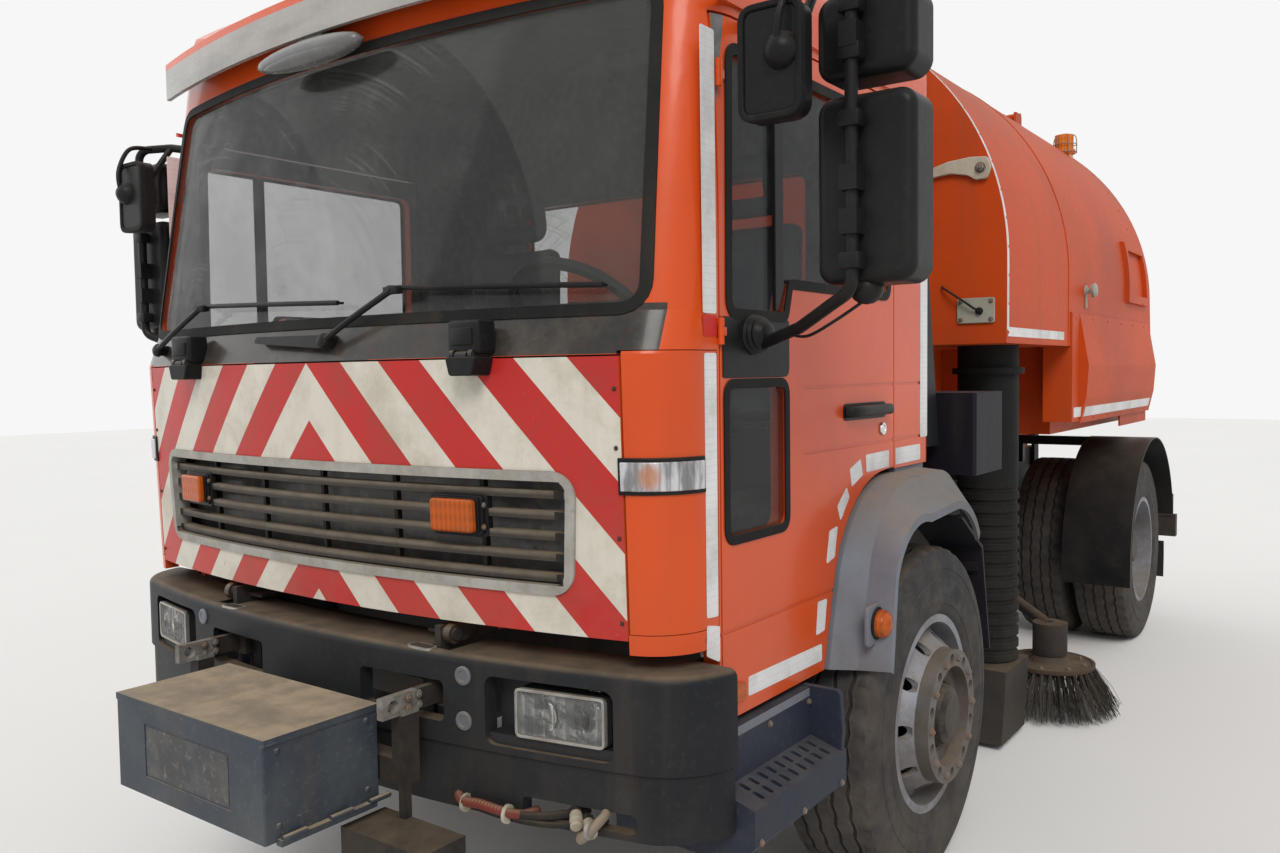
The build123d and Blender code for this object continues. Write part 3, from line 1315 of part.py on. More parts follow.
# housing: across, back, up
mirror_housings = [
    ((1300.0, 1520.0), (-1022.0, -915.0), (1745.0, 2140.0)),
    ((1300.0, 1520.0), (-1022.0, -915.0), (2172.0, 2350.0)),
]
front_mirror = ((1190.0, 1336.0), (-1152.0, -1104.0), (2080.0, 2318.0))
with BuildPart() as mirror_set:
    with BuildLine():
        FilletPolyline(
            (cab_half_width + seat_gap, at(-899), 1620), (1230, at(-960), 1660), (mirror_tube_x, at(mirror_tube_back), 1730),
            (mirror_tube_x, at(mirror_tube_back), 2395), (1290, at(-980), 2400),
            (cab_half_width - 55, at(-899), 2350), radius=[50, 40, 40, 50],
        )
    with BuildSketch(Plane(origin=(cab_half_width + seat_gap, at(-899), 1620), z_dir=(1230 - cab_half_width, -61, 40))):
        Circle(mirror_tube_radius)
    sweep()
    block((0, cab_half_width + seat_gap), (at(-1200), at(-700)), (1500, 2500), Mode.SUBTRACT)
    for x, back, z in mirror_housings:
        with BuildPart(mode=Mode.PRIVATE) as housing:
            block(x, (at(back[0]), at(back[1])), z)
            fillet(housing.edges().filter_by(Axis.Y), 38)
            fillet(housing.faces().sort_by(Axis.Y)[0].edges(), 26)
        add(housing.part)
    with BuildPart(mode=Mode.PRIVATE) as small_head:
        block(front_mirror[0], (at(front_mirror[1][0]), at(front_mirror[1][1])), front_mirror[2])
        fillet(small_head.edges().filter_by(Axis.Y), 34)
        fillet(small_head.faces().sort_by(Axis.Y)[0].edges(), 20)
    add(small_head.part)
    rod((1290, at(-1120), 2200), (1290, at(-980), 2400), 11)
    for z in (1870, 1960, 2250):
        block((mirror_tube_x - 20, mirror_tube_x + 20), (at(mirror_tube_back - 20), at(-1015)), (z - 26, z + 26))
nodes["mirror_left"] = mirror_set.part
nodes["mirror_right"] = mirrored(mirror_set.part)

# Wipers lie on the windscreen
with BuildPart() as wipers:
    for pivot, elbow, tip in (
        ((-190.0, 1652.0), (110.0, 1700.0), (880.0, 1745.0)),
        ((-730.0, 1650.0), (-560.0, 1722.0), (80.0, 1752.0)),
    ):
        def on_front(x, z, proud):
            # a place just ahead of the cab's front surface
            lean = (z - 1700) / (2460 - 1700) * 124 if z > 1700 else (1700 - z) / 95 * -36
            sag = cab_bow_radius - sqrt(cab_bow_radius**2 - x * x)
            return (x, at(-1336 + lean + sag) - proud, z)

        rod(on_front(*pivot, -12), on_front(*pivot, 34), 20)
        rod(on_front(*pivot, 24), on_front(*elbow, 30), 9)
        middle = ((elbow[0] + tip[0]) / 2, (elbow[1] + tip[1]) / 2)
        rod(on_front(*elbow, 30), on_front(*middle, 26), 7)
        rod(on_front(*middle, 26), on_front(*tip, 24), 7)
        with Locations(on_front(*elbow, 30), on_front(*middle, 26)):
            Sphere(9)
    add(cab_form(-seat_gap), mode=Mode.SUBTRACT)
nodes["wipers"] = wipers.part

with BuildPart() as intake:
    with BuildSketch(Plane.XY.offset(1300)):
        with Locations((930, at(385))):
            Rectangle(200, 150)
    with BuildSketch(Plane.XY.offset(2420)):
        with Locations((900, at(365))):
            Rectangle(150, 110)
    loft(ruled=True)
    block((rail_outer_x + seat_gap, 900), (at(340), at(370)), (1310, 1340))
    block((rail_outer_x + seat_gap, rail_outer_x + 30), (at(340), at(370)), (860, 1330))
nodes["intake_stack"] = intake.part

# Hopper

hopper_radius = 1095.0
hopper_axis_z = 1985.0
hopper_front = 1000.0
hopper_step = 1933.0
hopper_wall = 10.0
hopper_rear_low = 3880.0  # back of the tail opening at the bottom and at the top
hopper_rear_top = 3600.0
trough_half = 960.0
trough_low = 1240.0
trough_front = 2150.0
hatch_y = (3150.0, 3690.0)
hatch_z = (1915.0, 2250.0)
hatch_rake = 60.0
skirt_low = 1300.0
skirt_seam = 1815.0
tail_top_z = 3080.0
tail_hinge_back = 3580.0
tail_hinge_z = 3112.0
tail_lug_x = (330.0, 380.0)
tail_pin_radius = 10.0


def barrel_face(inset):
    with BuildSketch(Plane.XZ) as face:
        r = hopper_radius - inset
        with BuildLine():
            Polyline((-r, hopper_axis_z), (-r, hopper_front_floor + inset), (r, hopper_front_floor + inset), (r, hopper_axis_z))
            ThreePointArc((-r, hopper_axis_z), (0, hopper_axis_z + r), (r, hopper_axis_z))
        make_face()
    return face.sketch


tail_lean = (hopper_rear_low - hopper_rear_top) / (tail_top_z - trough_low)


def tail_at(z):
    return hopper_rear_low - (z - trough_low) * tail_lean


with BuildPart() as hopper:
    slab(barrel_face(0), -at(hopper_front), -at(4100))
    block((-trough_half, trough_half), (at(trough_front), at(4100)), (trough_low, hopper_front_floor + 20))
    slab(barrel_face(hopper_wall), -at(hopper_front + hopper_wall), -at(4200), Mode.SUBTRACT)
    block(
        (-trough_half + hopper_wall, trough_half - hopper_wall), (at(trough_front + hopper_wall), at(4200)),
        (trough_low + hopper_wall, hopper_front_floor + 40), Mode.SUBTRACT,
    )
    # runners on the subframe, with the ears of the tipping hinge
    for side in (1, -1):
        block(
            sorted((side * (rail_outer_x - 66), side * (rail_outer_x - 4))),
            (at(1380), at(3700)), (subframe_top + seat_gap, trough_low + 2),
        )
        block(
            sorted((side * (rail_outer_x - 66), side * (rail_outer_x - 4))),
            (at(1380), at(trough_front + 4)), (trough_low, hopper_front_floor + 2),
        )
        block(
            sorted((side * (rail_outer_x - 30), side * (rail_outer_x - 2))),
            (at(tip_back - 110), at(tip_back + 20)), (tip_z, trough_low + 2),
        )
        rod((side * (rail_outer_x - 30), at(tip_back), tip_z), (side * (rail_outer_x - 2), at(tip_back), tip_z), 40)
        rod(
            (side * (rail_outer_x - 80), at(tip_back), tip_z), (side * (rail_outer_x + 1), at(tip_back), tip_z),
            tip_pin_radius + pin_gap, Mode.SUBTRACT,
        )
    for side in (1, -1):
        for low, high in ((tail_lug_x[0] - 22, tail_lug_x[0] - 6), (tail_lug_x[1] + 6, tail_lug_x[1] + 22)):
            low, high = sorted((side * low, side * high))
            block((low, high), (at(tail_hinge_back - 90), at(tail_hinge_back)), (2960, tail_hinge_z + 12))
            rod((low, at(tail_hinge_back), tail_hinge_z), (high, at(tail_hinge_back), tail_hinge_z), 20)
        low, high = sorted((side * (tail_lug_x[0] - 22), side * (tail_lug_x[1] + 22)))
        rod((low, at(tail_hinge_back), tail_hinge_z), (high, at(tail_hinge_back), tail_hinge_z), tail_pin_radius)
        # the ducts open into the floor
        with Locations((side * duct_x, at(duct_back), hopper_front_floor)):
            Cylinder(duct_radius - duct_wall, 60, mode=Mode.SUBTRACT)
    # the tail opening is raked
    with BuildSketch(Plane.YZ.offset(-1400)):
        with BuildLine():
            Polyline(
                (at(tail_at(900)), 900), (at(tail_at(3300)), 3300), (at(4300), 3300), (at(4300), 900), close=True
            )
        make_face()
    extrude(amount=2800, mode=Mode.SUBTRACT)
    # raised rings at the front edge and at the joint of the two sections
    for start, end in ((hopper_front, hopper_front + 26), (hopper_step - 4, hopper_step + 4)):
        with BuildPart(mode=Mode.PRIVATE) as ring:
            slab(barrel_face(-3), -at(start), -at(end))
            slab(barrel_face(5), -at(start - 5), -at(end + 5), Mode.SUBTRACT)
            block((-1200, 1200), (at(start - 1), at(end + 1)), (hopper_front_floor + 1, 3200), Mode.INTERSECT)
        add(ring.part)
    # framed hatch on each side
    with BuildPart(mode=Mode.PRIVATE) as hatch:
        slab(barrel_face(-22), -at(hatch_y[0]), -at(hatch_y[1]))
        slab(barrel_face(4), -at(hatch_y[0] - 5), -at(hatch_y[1] + 5), Mode.SUBTRACT)
        with BuildSketch(Plane.YZ.offset(700)):
            with BuildLine():
                Polyline(
                    (at(hatch_y[0]), hatch_z[0]), (at(hatch_y[1]), hatch_z[0]),
                    (at(hatch_y[1] - hatch_rake), hatch_z[1]), (at(hatch_y[0]), hatch_z[1]), close=True
                )
            make_face()
            offset(amount=-46, kind=Kind.INTERSECTION, mode=Mode.SUBTRACT)
        extrude(amount=500, mode=Mode.INTERSECT)
    add(hatch.part)
    add(mirrored(hatch.part))
nodes["hopper_shell"] = hopper.part

tail_thick = 70.0
with BuildPart() as tail_door:
    slab(barrel_face(0), -at(3400), -at(4300))
    block((-trough_half, trough_half), (at(3400), at(4300)), (trough_low, hopper_front_floor + 20))
    with BuildSketch(Plane.YZ.offset(-1400)):
        with BuildLine():
            Polyline(
                (at(tail_at(900) + 1.5), 900), (at(tail_at(3300) + 1.5), 3300),
                (at(tail_at(3300) + tail_thick), 3300), (at(tail_at(900) + tail_thick), 900), close=True
            )
        make_face()
    extrude(amount=2800, mode=Mode.INTERSECT)
    for side in (1, -1):
        low, high = sorted((side * tail_lug_x[0], side * tail_lug_x[1]))
        rod((low, at(tail_hinge_back), tail_hinge_z), (high, at(tail_hinge_back), tail_hinge_z), 22)
        rod((low, at(tail_hinge_back), tail_hinge_z), (high, at(tail_hinge_back), tail_hinge_z), tail_pin_radius + pin_gap, Mode.SUBTRACT)
        block((low, high), (at(tail_hinge_back + 14), at(tail_hinge_back + 98)), (tail_hinge_z - 18, tail_hinge_z + 21))
        block((low, high), (at(tail_hinge_back + 62), at(tail_hinge_back + 98)), (2950, tail_hinge_z + 21))
    for height in (1420.0, 1850.0, 2300.0, 2700.0):
        width = sqrt(max(0.0, hopper_radius**2 - max(0.0, height - hopper_axis_z) ** 2)) - 90
        width = min(width, trough_half - 60 if height < hopper_front_floor else width)
        face_y = tail_at(height) + tail_thick
        block((-width, width), (at(face_y - 22), at(face_y + 24)), (height - 24, height + 24))
    for side in (1, -1):
        block(
            sorted((side * 700, side * 740)), (at(tail_at(1500) + tail_thick - 30), at(tail_at(1500) + tail_thick + 30)),
            (1300, 1700),
        )
nodes["tail_door"] = tail_door.part

skirt_sheet = 9.0
skirt_front = 1969.0
skirt_bulge_front = 2104.0
skirt_rear = 3760.0
skirt_bulge = 42.0
skirt_bulge_z = 1570.0


def skirt_face(back, bulge, low):
    inner = hopper_radius + seat_gap
    outer = inner + skirt_sheet
    with BuildSketch(Plane.XZ.offset(-at(back))) as face:
        with BuildLine():
            Polyline(
                (inner, skirt_seam), (outer, skirt_seam), (outer + bulge, skirt_bulge_z),
                (outer + bulge * 0.75, 1420), (outer + bulge * 0.1, low), (inner + bulge * 0.1, low),
                (inner + bulge * 0.75, 1420), (inner + bulge, skirt_bulge_z - 2), (inner, skirt_seam - 12), close=True,
            )
        make_face()
    return face.sketch


with BuildPart() as skirt:
    slab(skirt_face(0, 0.5, 1310), -at(skirt_front) + front_axle_y, -at(skirt_bulge_front - 2) + front_axle_y)
    slab(skirt_face(0, skirt_bulge, skirt_low), -at(skirt_bulge_front) + front_axle_y, -at(skirt_rear) + front_axle_y)
    # return face at the front, over the mudguard
    block((975, hopper_radius + 4), (at(skirt_front), at(skirt_front + 9)), (1310, hopper_front_floor - 1))
    # closing wedge at the front of the bulge
    with BuildSketch(Plane.XZ.offset(-at(skirt_bulge_front - 2))):
        with BuildLine():
            Polyline(
                (hopper_radius + 4, skirt_seam - 30), (hopper_radius + skirt_bulge + 6, skirt_bulge_z),
                (hopper_radius + 0.75 * skirt_bulge + 6, 1420), (hopper_radius + 6, skirt_low + 12),
                (hopper_radius + 2, skirt_low + 12), close=True,
            )
        make_face()
    extrude(amount=-8)
    # lower piece over the rear wheel
    block((hopper_radius - 8, hopper_radius + 1), (at(3038), at(3740)), (1240, 1330))
    block((hopper_radius - 8, hopper_radius + 9), (at(3038), at(3740)), (1302, 1330))
nodes["hopper_skirts"] = both_sides(skirt.part)

with BuildPart() as beacon:
    with Locations((700, at(3420), 2880)):
        Cylinder(52, 90)
    with Locations((700, at(3420), 2826)):
        Cylinder(62, 22)
    block((660, 740), (at(3380), at(3460)), (2760, 2820))
    with BuildSketch(Plane.XZ.offset(-at(3340))):
        with Locations((0, hopper_axis_z)):
            Circle(hopper_radius + seat_gap)
    extrude(amount=-160, mode=Mode.SUBTRACT)
nodes["beacon"] = beacon.part

os.makedirs("parts", exist_ok=True)
for name, part in nodes.items():
    part.label = name
    export_step(part, f"parts/{name}.step")
    print(name, len(part.solids()), round(part.volume))
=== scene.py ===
import math
import random

import bmesh
import bpy
from mathutils import Matrix, Vector
from mathutils.bvhtree import BVHTree


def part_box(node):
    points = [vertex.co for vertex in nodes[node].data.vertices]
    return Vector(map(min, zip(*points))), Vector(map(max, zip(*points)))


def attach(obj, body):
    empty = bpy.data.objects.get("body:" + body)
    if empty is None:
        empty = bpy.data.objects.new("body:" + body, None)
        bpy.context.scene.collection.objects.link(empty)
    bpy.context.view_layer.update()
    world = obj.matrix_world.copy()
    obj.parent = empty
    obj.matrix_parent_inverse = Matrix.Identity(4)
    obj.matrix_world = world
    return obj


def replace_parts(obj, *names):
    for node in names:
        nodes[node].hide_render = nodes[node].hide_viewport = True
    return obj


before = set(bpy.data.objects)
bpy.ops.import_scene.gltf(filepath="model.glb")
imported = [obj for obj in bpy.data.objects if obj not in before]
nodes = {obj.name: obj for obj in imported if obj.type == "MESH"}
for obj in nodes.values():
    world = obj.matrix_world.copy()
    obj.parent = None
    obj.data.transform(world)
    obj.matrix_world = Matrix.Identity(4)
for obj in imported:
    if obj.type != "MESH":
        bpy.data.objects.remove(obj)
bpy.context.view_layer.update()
print("frame loaded with", len(nodes), "nodes")

frontAxle = 1285.0            # the front axle stands this far ahead of the frame's origin, in millimetres
rearAxle = 3450.0             # from the front axle
sides = {"left": 1, "right": -1}
dice = random.Random(11)


def spot(x, back, up):        # millimetres from the front axle's middle to metres in the frame
    return Vector((x / 1000, (back - frontAxle) / 1000, up / 1000))


def turns(count, shift=0.0):        # equal steps round a circle
    return [2 * math.pi * (k + shift) / count for k in range(count)]


# camera and lights

viewpoint = {"place": (2.3144, -4.3371, 1.5630), "yaw": 0.632, "pitch": -0.0515, "roll": 0.0136,
             "focal": 1035.63, "width": 1280, "sensor": 36.0, "reach": 200}
studio = {"floor": (0.80, 0.79, 0.77), "backdrop": (0.93, 0.93, 0.93), "sky": 0.62,
          "skyTint": (0.96, 0.98, 1.0), "floorSize": 60.0}
suns = {"keyLight": {"strength": 1.75, "turn": (0.82, 0.12, 0.55), "soft": 0.45, "tint": (1, 0.98, 0.95)},
        "fillLight": {"strength": 0.55, "turn": (1.0, -0.1, -1.25), "soft": 1.2, "tint": (1, 1, 1)}}


def placeCamera(view):
    yaw, pitch, roll = view["yaw"], view["pitch"], view["roll"]
    ahead = Vector((-math.sin(yaw) * math.cos(pitch), math.cos(yaw) * math.cos(pitch), math.sin(pitch)))
    across = Vector((math.cos(yaw), math.sin(yaw), 0))
    down = ahead.cross(across)
    right = across * math.cos(roll) + down * math.sin(roll)
    below = down * math.cos(roll) - across * math.sin(roll)
    data = bpy.data.cameras.new("camera")
    data.sensor_width = view["sensor"]
    data.lens = view["focal"] / view["width"] * view["sensor"]
    data.clip_end = view["reach"]
    camera = bpy.data.objects.new("camera", data)
    turn = Matrix((right, -below, -ahead)).transposed().to_4x4()
    camera.matrix_world = Matrix.Translation(view["place"]) @ turn
    bpy.context.scene.collection.objects.link(camera)
    bpy.context.scene.camera = camera


def placeSun(name, sun):
    data = bpy.data.lights.new(name, "SUN")
    data.energy, data.angle, data.color = sun["strength"], sun["soft"], sun["tint"]
    lamp = bpy.data.objects.new(name, data)
    lamp.rotation_euler = sun["turn"]
    bpy.context.scene.collection.objects.link(lamp)


placeCamera(viewpoint)
for name, sun in suns.items():
    placeSun(name, sun)
bpy.context.scene.view_settings.view_transform = "Standard"


# finishes: a signal is a node's output that Python's operators can work on

def addNode(tree, kind, settings=None, values=None):
    made = tree.nodes.new(kind)
    for name, setting in (settings or {}).items():
        setattr(made, name, setting)
    for key, value in (values or {}).items():
        socket = made.inputs[key]
        if isinstance(value, Signal):
            value = value.socket
        if isinstance(value, bpy.types.NodeSocket):
            tree.links.new(value, socket)
        elif socket.type == "RGBA" and len(value) == 3:
            socket.default_value = (*value, 1)
        else:
            socket.default_value = value
    return made


class Signal:
    def __init__(self, finish, socket):
        self.finish = finish
        self.socket = socket

    def sum(self, operation, *terms):
        made = self.finish.node("ShaderNodeMath", {"operation": operation}, dict(enumerate(terms)))
        return Signal(self.finish, made.outputs[0])

    def __add__(self, other):
        return self.sum("ADD", self, other)

    def __sub__(self, other):
        return self.sum("SUBTRACT", self, other)

    def __rsub__(self, other):
        return self.sum("SUBTRACT", other, self)

    def __mul__(self, other):
        return self.sum("MULTIPLY", self, other)

    def __truediv__(self, other):
        return self.sum("DIVIDE", self, other)

    def __gt__(self, other):
        return self.sum("GREATER_THAN", self, other)

    def __lt__(self, other):
        return self.sum("LESS_THAN", self, other)

    def __abs__(self):
        return self.sum("ABSOLUTE", self)

    def __mod__(self, other):
        return self.sum("FLOORED_MODULO", self, other)

    __radd__ = __add__
    __rmul__ = __mul__

    def larger(self, other):
        return self.sum("MAXIMUM", self, other)

    def smaller(self, other):
        return self.sum("MINIMUM", self, other)

    def rise(self, low, high):        # 0 below low, 1 above high, smooth between
        made = self.finish.node("ShaderNodeMapRange", {"interpolation_type": "SMOOTHSTEP"},
                                {"Value": self, "From Min": low, "From Max": high})
        return Signal(self.finish, made.outputs["Result"])

    def within(self, low, high, soft=0.0005):
        return self.rise(low - soft, low + soft) * (1 - self.rise(high - soft, high + soft))


def span(first, *others):        # the distance that these parts make together
    square = first * first
    for part in others:
        square = square + part * part
    return square.sum("SQRT", square)


class Finish:
    def __init__(self, name):
        self.material = bpy.data.materials.new(name)
        self.material.use_nodes = True
        self.tree = self.material.node_tree
        self.tree.nodes.clear()
        source = self.node("ShaderNodeTexCoord")
        self.where = Signal(self, source.outputs["Object"])
        self.place = self.split(self.where)
        self.facing = self.split(Signal(self, source.outputs["Normal"]))

    def node(self, kind, settings=None, values=None):
        return addNode(self.tree, kind, settings, values)

    def split(self, vector):
        made = self.node("ShaderNodeSeparateXYZ", None, {0: vector})
        return [Signal(self, out) for out in made.outputs]

    def noise(self, scale, detail=4.0, rough=0.55, stretch=None, twist=0.0):
        vector = self.where
        if stretch:
            vector = self.node("ShaderNodeMapping", None, {"Vector": vector, "Scale": stretch}).outputs[0]
        made = self.node("ShaderNodeTexNoise", None, {
            "Vector": vector, "Scale": scale, "Detail": detail, "Roughness": rough, "Distortion": twist})
        return Signal(self, made.outputs[0])

    def bands(self, along, scale):        # soft random lines across a distance
        made = self.node("ShaderNodeTexNoise", {"noise_dimensions": "1D"},
                         {"W": along, "Scale": scale, "Detail": 3.0})
        return Signal(self, made.outputs[0]).rise(0.5, 0.7)

    def mix(self, first, second, factor):
        made = self.node("ShaderNodeMix", {"data_type": "RGBA"}, {0: factor, 6: first, 7: second})
        return Signal(self, made.outputs[2])

    def relief(self, height, depth, strength=1.0):
        made = self.node("ShaderNodeBump", None, {"Height": height, "Distance": depth, "Strength": strength})
        return Signal(self, made.outputs[0])

    def surface(self, colour, rough, uniform, **varying):
        values = {"Base Color": colour, "Roughness": rough, **uniform}
        values.update({name.replace("_", " "): value for name, value in varying.items()})
        shader = self.node("ShaderNodeBsdfPrincipled", None, values)
        self.node("ShaderNodeOutputMaterial", None, {0: shader.outputs[0]})
        return self.material


usual = {"cloud": 1.4, "grain": 60, "speckled": 0.25, "runs": 0.2, "runColour": (0.11, 0.075, 0.045),
         "scratched": 0, "bare": (0.5, 0.48, 0.45), "grime": 0.3, "grimeColour": (0.12, 0.088, 0.058),
         "splashTop": 1.35, "dust": 0.4, "dustColour": (0.34, 0.26, 0.165), "bump": 0.0006, "shine": 0.2,
         "metal": 0}


# a paint, or one colour, under speckles, runs, scratches, splashes and dust
def weathered(name, look, paint=None):
    look = {**usual, "speckle": look["worn"], **look}
    finish = Finish(name)
    broad = finish.noise(look["cloud"], 5, 0.6)
    fine = finish.noise(look["grain"], 6, 0.6)
    colour = paint(finish) if paint else finish.mix(look["colour"], look["worn"], broad.rise(0.38, 0.72))
    colour = finish.mix(colour, look["speckle"], fine.rise(0.52, 0.78) * look["speckled"])
    runs = finish.noise(7, 5, 0.6, stretch=(1, 1, 0.07)).rise(0.52, 0.78) * look["runs"]
    colour = finish.mix(colour, look["runColour"], runs)
    scratch = finish.noise(26, 3, 0.7, stretch=(1, 1, 5), twist=0.6).rise(0.66, 0.70) * look["scratched"]
    colour = finish.mix(colour, look["bare"], scratch)
    splash = (1 - finish.place[2].rise(0.25, look["splashTop"])) * finish.noise(5.5, 9, 0.7).rise(0.3, 0.66)
    colour = finish.mix(colour, look["grimeColour"], splash * look["grime"])
    settled = finish.facing[2].rise(0.38, 0.95) * (0.55 + finish.noise(11, 7, 0.65).rise(0.32, 0.7) * 0.45)
    dusty = settled * look["dust"]
    colour = finish.mix(colour, look["dustColour"], dusty)
    low, high = look["rough"]
    rough = low + fine * (high - low) + dusty * 0.35 + splash * look["grime"] * 0.3
    bumps = finish.relief(fine + finish.noise(240, 2) * 0.5, look["bump"], 0.6)
    uniform = {"IOR": 1.5, "Specular IOR Level": look["shine"]}
    varying = {"Metallic": look["metal"] * (1 - dusty.larger(splash * 0.7)) if look["metal"] else 0.0}
    if "coat" in look:
        uniform.update({"Coat Roughness": 0.12, "Coat IOR": 1.3})
        varying["Coat_Weight"] = (1 - dusty) * look["coat"]
    return finish.surface(colour, rough.smaller(0.95), uniform, Normal=bumps, **varying)


def coating(colour, worn, rough, **more):
    return {"colour": colour, "worn": worn, "rough": rough, **more}


looks = {
    "orangePaint": coating((0.60, 0.070, 0.008), (0.51, 0.054, 0.008), (0.22, 0.42), coat=0.5, dust=0.30,
                           grime=0.34, runs=0.14, speckled=0.06, bump=0.0003, cloud=1.1,
                           grimeColour=(0.20, 0.075, 0.03), shine=0.22),
    # the hopper's orange is browner and more matt than the cab's, and kept a little darker as painted shade
    "hopperPaint": coating((0.52, 0.062, 0.009), (0.38, 0.052, 0.012), (0.36, 0.58), dust=0.38, grime=0.5,
                           runs=0.3, speckled=0.12, bump=0.0004, cloud=0.8, splashTop=2.0,
                           grimeColour=(0.20, 0.075, 0.035), shine=0.12, dustColour=(0.30, 0.16, 0.08)),
    "tape": coating((0.70, 0.70, 0.70), (0.52, 0.50, 0.48), (0.3, 0.5), runs=0.3, speckled=0.3, cloud=5,
                    grimeColour=(0.26, 0.21, 0.16)),
    "redTape": coating((0.52, 0.022, 0.016), (0.42, 0.03, 0.02), (0.3, 0.5)),
    "bumperPlastic": coating((0.011, 0.012, 0.015), (0.020, 0.021, 0.022), (0.36, 0.56), dust=0.7, grime=0.22,
                             runs=0.18, speckle=(0.06, 0.055, 0.05), splashTop=0.9, bump=0.0010, shine=0.16,
                             grimeColour=(0.075, 0.062, 0.05), dustColour=(0.19, 0.14, 0.09)),
    "blackPlastic": coating((0.009, 0.009, 0.010), (0.018, 0.017, 0.016), (0.30, 0.48), dust=0.2, runs=0.12,
                            speckled=0.2, speckle=(0.045, 0.038, 0.030), shine=0.14,
                            dustColour=(0.15, 0.115, 0.08), grimeColour=(0.05, 0.04, 0.03)),
    "rubber": coating((0.010, 0.010, 0.010), (0.021, 0.020, 0.019), (0.55, 0.8), dust=0.3, speckled=0.3,
                      bump=0.0008, speckle=(0.05, 0.045, 0.04), shine=0.12, dustColour=(0.17, 0.13, 0.09),
                      grimeColour=(0.06, 0.048, 0.036)),
    "greyPlastic": coating((0.165, 0.18, 0.215), (0.115, 0.115, 0.12), (0.45, 0.65), dust=0.5, grime=0.55,
                           runs=0.3, speckled=0.3, grimeColour=(0.095, 0.078, 0.06)),
    "stepPlastic": coating((0.018, 0.024, 0.042), (0.032, 0.038, 0.056), (0.36, 0.56), dust=0.3, grime=0.25,
                           speckled=0.35, speckle=(0.09, 0.085, 0.08), shine=0.16,
                           dustColour=(0.16, 0.14, 0.12), grimeColour=(0.07, 0.06, 0.055)),
    "frameSteel": coating((0.020, 0.020, 0.022), (0.036, 0.032, 0.029), (0.45, 0.7), dust=0.5, grime=0.5,
                          runs=0.3, speckled=0.45, speckle=(0.085, 0.048, 0.028), bump=0.0012, shine=0.14,
                          dustColour=(0.20, 0.15, 0.10), grimeColour=(0.075, 0.056, 0.040)),
    "castSteel": coating((0.050, 0.040, 0.034), (0.11, 0.06, 0.036), (0.55, 0.8), dust=0.5, grime=0.5,
                         speckled=0.6, speckle=(0.16, 0.075, 0.038), bump=0.0020, metal=0.25,
                         dustColour=(0.20, 0.15, 0.10), grimeColour=(0.085, 0.06, 0.042)),
    "wheelSteel": coating((0.27, 0.28, 0.32), (0.18, 0.175, 0.175), (0.36, 0.58), dust=0.3, grime=0.7,
                          speckled=0.55, speckle=(0.12, 0.09, 0.065), metal=0.2,
                          grimeColour=(0.125, 0.10, 0.08), splashTop=1.15, cloud=6),
    "boxSteel": coating((0.036, 0.045, 0.060), (0.060, 0.068, 0.076), (0.34, 0.55), dust=0.92, grime=0.22,
                        runs=0.4, speckled=0.3, speckle=(0.16, 0.15, 0.13), splashTop=0.8,
                        dustColour=(0.38, 0.30, 0.20), grimeColour=(0.13, 0.115, 0.09), cloud=5,
                        scratched=0.25, bare=(0.22, 0.22, 0.21)),
    "lockerSteel": coating((0.009, 0.008, 0.013), (0.015, 0.014, 0.019), (0.40, 0.6), dust=0.3, grime=0.25,
                           speckled=0.15, speckle=(0.04, 0.035, 0.03), shine=0.10,
                           dustColour=(0.15, 0.12, 0.10), grimeColour=(0.06, 0.05, 0.045)),
    "bareSteel": coating((0.42, 0.41, 0.39), (0.27, 0.25, 0.22), (0.3, 0.5), metal=0.85, speckled=0.5,
                         speckle=(0.2, 0.12, 0.07), cloud=12),
    "nutSteel": coating((0.20, 0.19, 0.18), (0.26, 0.15, 0.09), (0.4, 0.6), dust=0.3, metal=0.7, speckled=0.6,
                        speckle=(0.3, 0.13, 0.06), cloud=25),
    "creamLever": coating((0.47, 0.43, 0.34), (0.36, 0.31, 0.23), (0.35, 0.55), cloud=9, speckled=0.4),
    "palePlate": coating((0.34, 0.335, 0.28), (0.26, 0.25, 0.20), (0.4, 0.6), dust=0.3, cloud=8,
                         speckled=0.3),
    "lampHood": coating((0.10, 0.10, 0.10), (0.15, 0.145, 0.14), (0.18, 0.34), dust=0.3, shine=0.5, cloud=6),
    "darkPlate": coating((0.045, 0.05, 0.057), (0.10, 0.10, 0.10), (0.4, 0.6), speckled=0.5,
                         speckle=(0.3, 0.28, 0.24), cloud=9),
    "visorWhite": coating((0.62, 0.63, 0.64), (0.50, 0.50, 0.49), (0.2, 0.36), dust=0.35, runs=0.4,
                          speckled=0.2, splashTop=0.5, shine=0.5),
    "engineGrey": coating((0.055, 0.058, 0.062), (0.045, 0.038, 0.032), (0.5, 0.75), dust=0.6, grime=0.5,
                          speckled=0.5, speckle=(0.05, 0.04, 0.03), bump=0.002),
    "redHose": coating((0.20, 0.022, 0.016), (0.14, 0.04, 0.03), (0.4, 0.6), dust=0.6),
    "clearHose": coating((0.30, 0.26, 0.20), (0.20, 0.165, 0.125), (0.25, 0.45), dust=0.6),
    "chrome": coating((0.72, 0.72, 0.72), (0.55, 0.54, 0.52), (0.08, 0.22), dust=0.2, metal=0.95,
                      speckled=0.15, cloud=12, bump=0.0001),
}


def tapePaint(finish):        # reflective tape: pale cells between fine lines, dull where it is worn
    lines = (finish.place[2] / 0.0165) % 1 < 0.07
    worn = finish.noise(6, 6, 0.7).rise(0.4, 0.72)
    cells = finish.mix(looks["tape"]["colour"], looks["tape"]["worn"], worn)
    return finish.mix(cells, (0.42, 0.42, 0.45), lines * 0.45)


